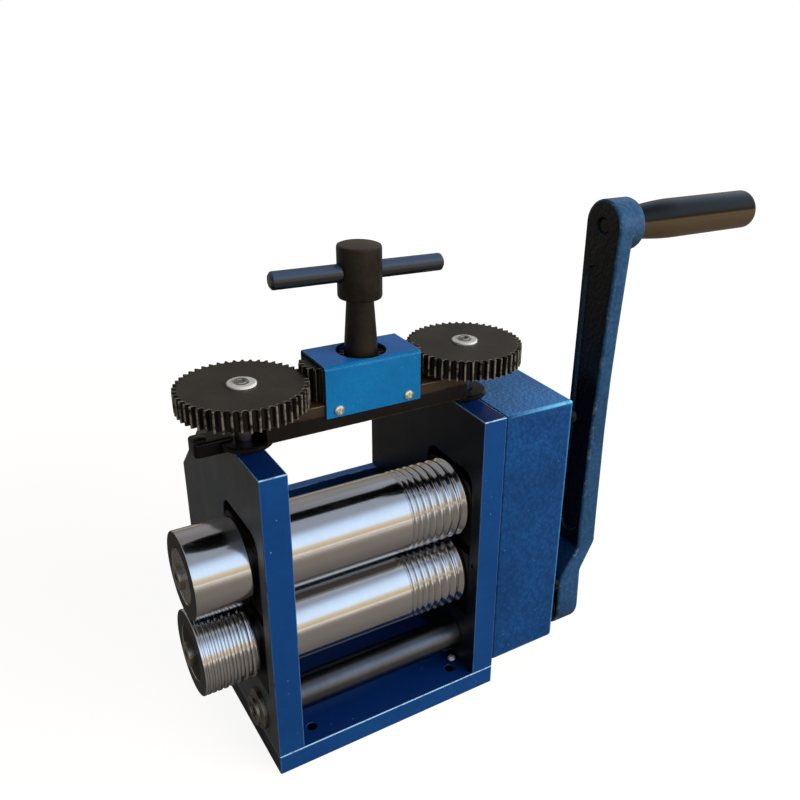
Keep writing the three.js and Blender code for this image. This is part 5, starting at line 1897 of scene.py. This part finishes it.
@dataclass
class Studio:
    """Pale floor, soft lamps and the camera of the photograph's view.

    The lamps have a name, a place and a size in metres, a power in watts and a colour. The
    reflections have the sine of their elevation and a colour.
    """

    picture: float = 800.0
    focal: float = 857.0
    centre: Point2 = (478.8, 418.2)
    place: Triple = (-179.5, -393.3, 379.8)
    pitch: float = 25.7
    roll: float = 2.7
    yaw: float = 35.0
    sensor: float = 36.0
    aim: Triple = (0.03, -0.02, 0.12)
    floor_half: float = 8.0
    reflections: tuple[tuple[float, Triple], ...] = (
        (-0.4, (0.28, 0.24, 0.2)),
        (-0.03, (0.76, 0.67, 0.54)),
        (-0.01, (0.9, 0.83, 0.68)),
        (0.025, (0.9, 0.83, 0.68)),
        (0.04, (0.46, 0.36, 0.24)),
        (0.22, (0.64, 0.53, 0.36)),
        (0.33, (0.68, 0.83, 1.0)),
        (0.5, (0.66, 0.82, 1.0)),
        (0.66, (0.54, 0.69, 0.9)),
        (0.82, (0.26, 0.29, 0.34)),
    )
    behind: Colour = (0.13, 0.1, 0.07, 1.0)
    white: Colour = (1.0, 1.0, 1.0, 1.0)
    surround: float = 0.07
    mirrored: float = 1.35
    lamps: tuple[tuple[str, Triple, Point2, float, Triple], ...] = (
        ("key", (1.0, -1.4, 0.72), (1.9, 1.1), 50.0, (1.0, 0.99, 0.97)),
        ("top", (-0.1, 0.2, 1.6), (1.2, 1.2), 5.0, (0.92, 0.95, 1.0)),
        ("fill", (-1.4, -0.7, 0.6), (1.0, 0.9), 0.5, (0.97, 0.98, 1.0)),
    )

    def camera(self) -> None:
        """Makes the camera."""
        pitch, roll, yaw = (math.radians(v) for v in (self.pitch, self.roll, self.yaw))
        ahead = Vector((math.sin(yaw) * math.cos(pitch), math.cos(yaw) * math.cos(pitch), -math.sin(pitch)))
        flat_right = Vector((math.cos(yaw), -math.sin(yaw), 0))
        flat_up = flat_right.cross(ahead)
        right = flat_right * math.cos(roll) + flat_up * math.sin(roll)
        up = flat_up * math.cos(roll) - flat_right * math.sin(roll)
        data = bpy.data.cameras.new("camera")
        data.sensor_width = self.sensor
        data.lens = self.focal * self.sensor / self.picture
        data.shift_x = (self.picture / 2 - self.centre[0]) / self.picture
        data.shift_y = (self.centre[1] - self.picture / 2) / self.picture
        data.clip_start = 0.01
        data.clip_end = 50.0
        camera = put_down("camera", data)
        turn = Matrix((right, up, -ahead)).transposed().to_4x4()
        camera.matrix_world = Matrix.Translation(Vector(self.place) * MM) @ turn
        bpy.context.scene.camera = camera

    def lights(self) -> None:
        """Makes the lamps."""
        for name, place, (width, height), power, colour in self.lamps:
            data = bpy.data.lights.new(name, "AREA")
            data.shape = "RECTANGLE"
            data.size = width
            data.size_y = height
            data.energy = power
            data.color = colour
            lamp = put_down(name, data)
            lamp.location = place
            lamp.rotation_euler = (Vector(self.aim) - Vector(place)).to_track_quat("-Z", "Y").to_euler()
            lamp.visible_glossy = False

    def world(self) -> None:
        """Makes the surround: white where it is seen, and a soft studio in the metal's reflections."""
        world = bpy.data.worlds.new("surround")
        bpy.context.scene.world = world
        w = Wiring.of(world)

        def glow(colour: Any, strength: float) -> Socket:
            """Light from all around."""
            return w.put("Background", {"Color": colour, "Strength": strength}).outputs[0]

        way = w.place("Generated")
        ramp = w.put("ValToRGB", {0: w.spread(w.parts(way)[2], -1.0, 1.0)})
        stops = ramp.color_ramp.elements
        for sine, colour in self.reflections:
            stops.new(sine / 2 + 0.5).color = (*colour, 1.0)
        stops.remove(stops[0])
        stops.remove(stops[-1])
        front = w.vector("DOT_PRODUCT", way, (0.55, -0.8, 0.2)).outputs["Value"]
        room = w.blend(w.spread(front, 0.35, -0.25, 0.0, 0.85), ramp.outputs[0], self.behind)
        seen, in_mirror = w.seen()
        lit = {0: in_mirror, 1: glow(self.white, self.surround), 2: glow(room, self.mirrored)}
        lit = w.put("MixShader", lit).outputs[0]
        both = w.put("MixShader", {0: seen, 1: lit, 2: glow(self.white, 1.0)})
        w.put("OutputWorld", {0: both.outputs[0]})

    def floor(self) -> None:
        """Makes the pale floor, which keeps the shadow and is white where it is lit."""
        mesh = bpy.data.meshes.new("floor")
        outline = rectangle(-self.floor_half, -self.floor_half, self.floor_half, self.floor_half)
        mesh.from_pydata([(x, y, 0) for x, y in outline], [], [(0, 1, 2, 3)])
        floor = put_down("floor", mesh)
        made = bpy.data.materials.new("pale_floor")
        w = Wiring.of(made)
        cloud = w.spread(w.noise(w.place(), 3.0), 0.3, 0.7)
        colour = w.blend(cloud, (0.21, 0.18, 0.145, 1.0), (0.23, 0.195, 0.16, 1.0))
        cloth = w.put("BsdfDiffuse", {"Color": colour}).outputs[0]
        far = w.vector("LENGTH", w.place()).outputs["Value"]
        seen, in_mirror = w.seen()
        seen = w.times(seen, w.spread(far, 0.35, 1.3, 0.91, 1.0))
        in_mirror = w.times(in_mirror, w.spread(far, 0.4, 4.0, 0.05, 0.6))
        strength = w.sum("ADD", seen, in_mirror)
        glow = w.put("Emission", {"Color": self.white, "Strength": strength}).outputs[0]
        w.put("OutputMaterial", {0: w.put("AddShader", {0: cloth, 1: glow}).outputs[0]})
        mesh.materials.append(made)

    def build(self) -> None:
        """Sets the whole stage."""
        self.camera()
        self.lights()
        self.world()
        self.floor()
        bpy.context.scene.view_settings.view_transform = "Standard"


# ------------------------------------------------------------------ the whole scene


def main() -> None:
    """Builds the stage and then the mill, assembly by assembly."""
    logging.basicConfig(level=logging.INFO, format="%(name)s %(message)s")
    Studio().build()
    mill = MillFrame()
    mill.build()
    for assembly in (
        Bearings(mill),
        Roll(mill, "upper", axis_z=121.7, spigot_x=87.8, is_grooved=False),
        Roll(mill, "lower", axis_z=73.7, spigot_x=101.5, is_grooved=True),
        AdjustingTrain(mill),
        GearCover(mill),
        THandle(mill),
        GearCasing(mill),
        Crank(mill),
    ):
        assembly.build()
    bpy.context.view_layer.update()


if __name__ == "__main__":
    main()
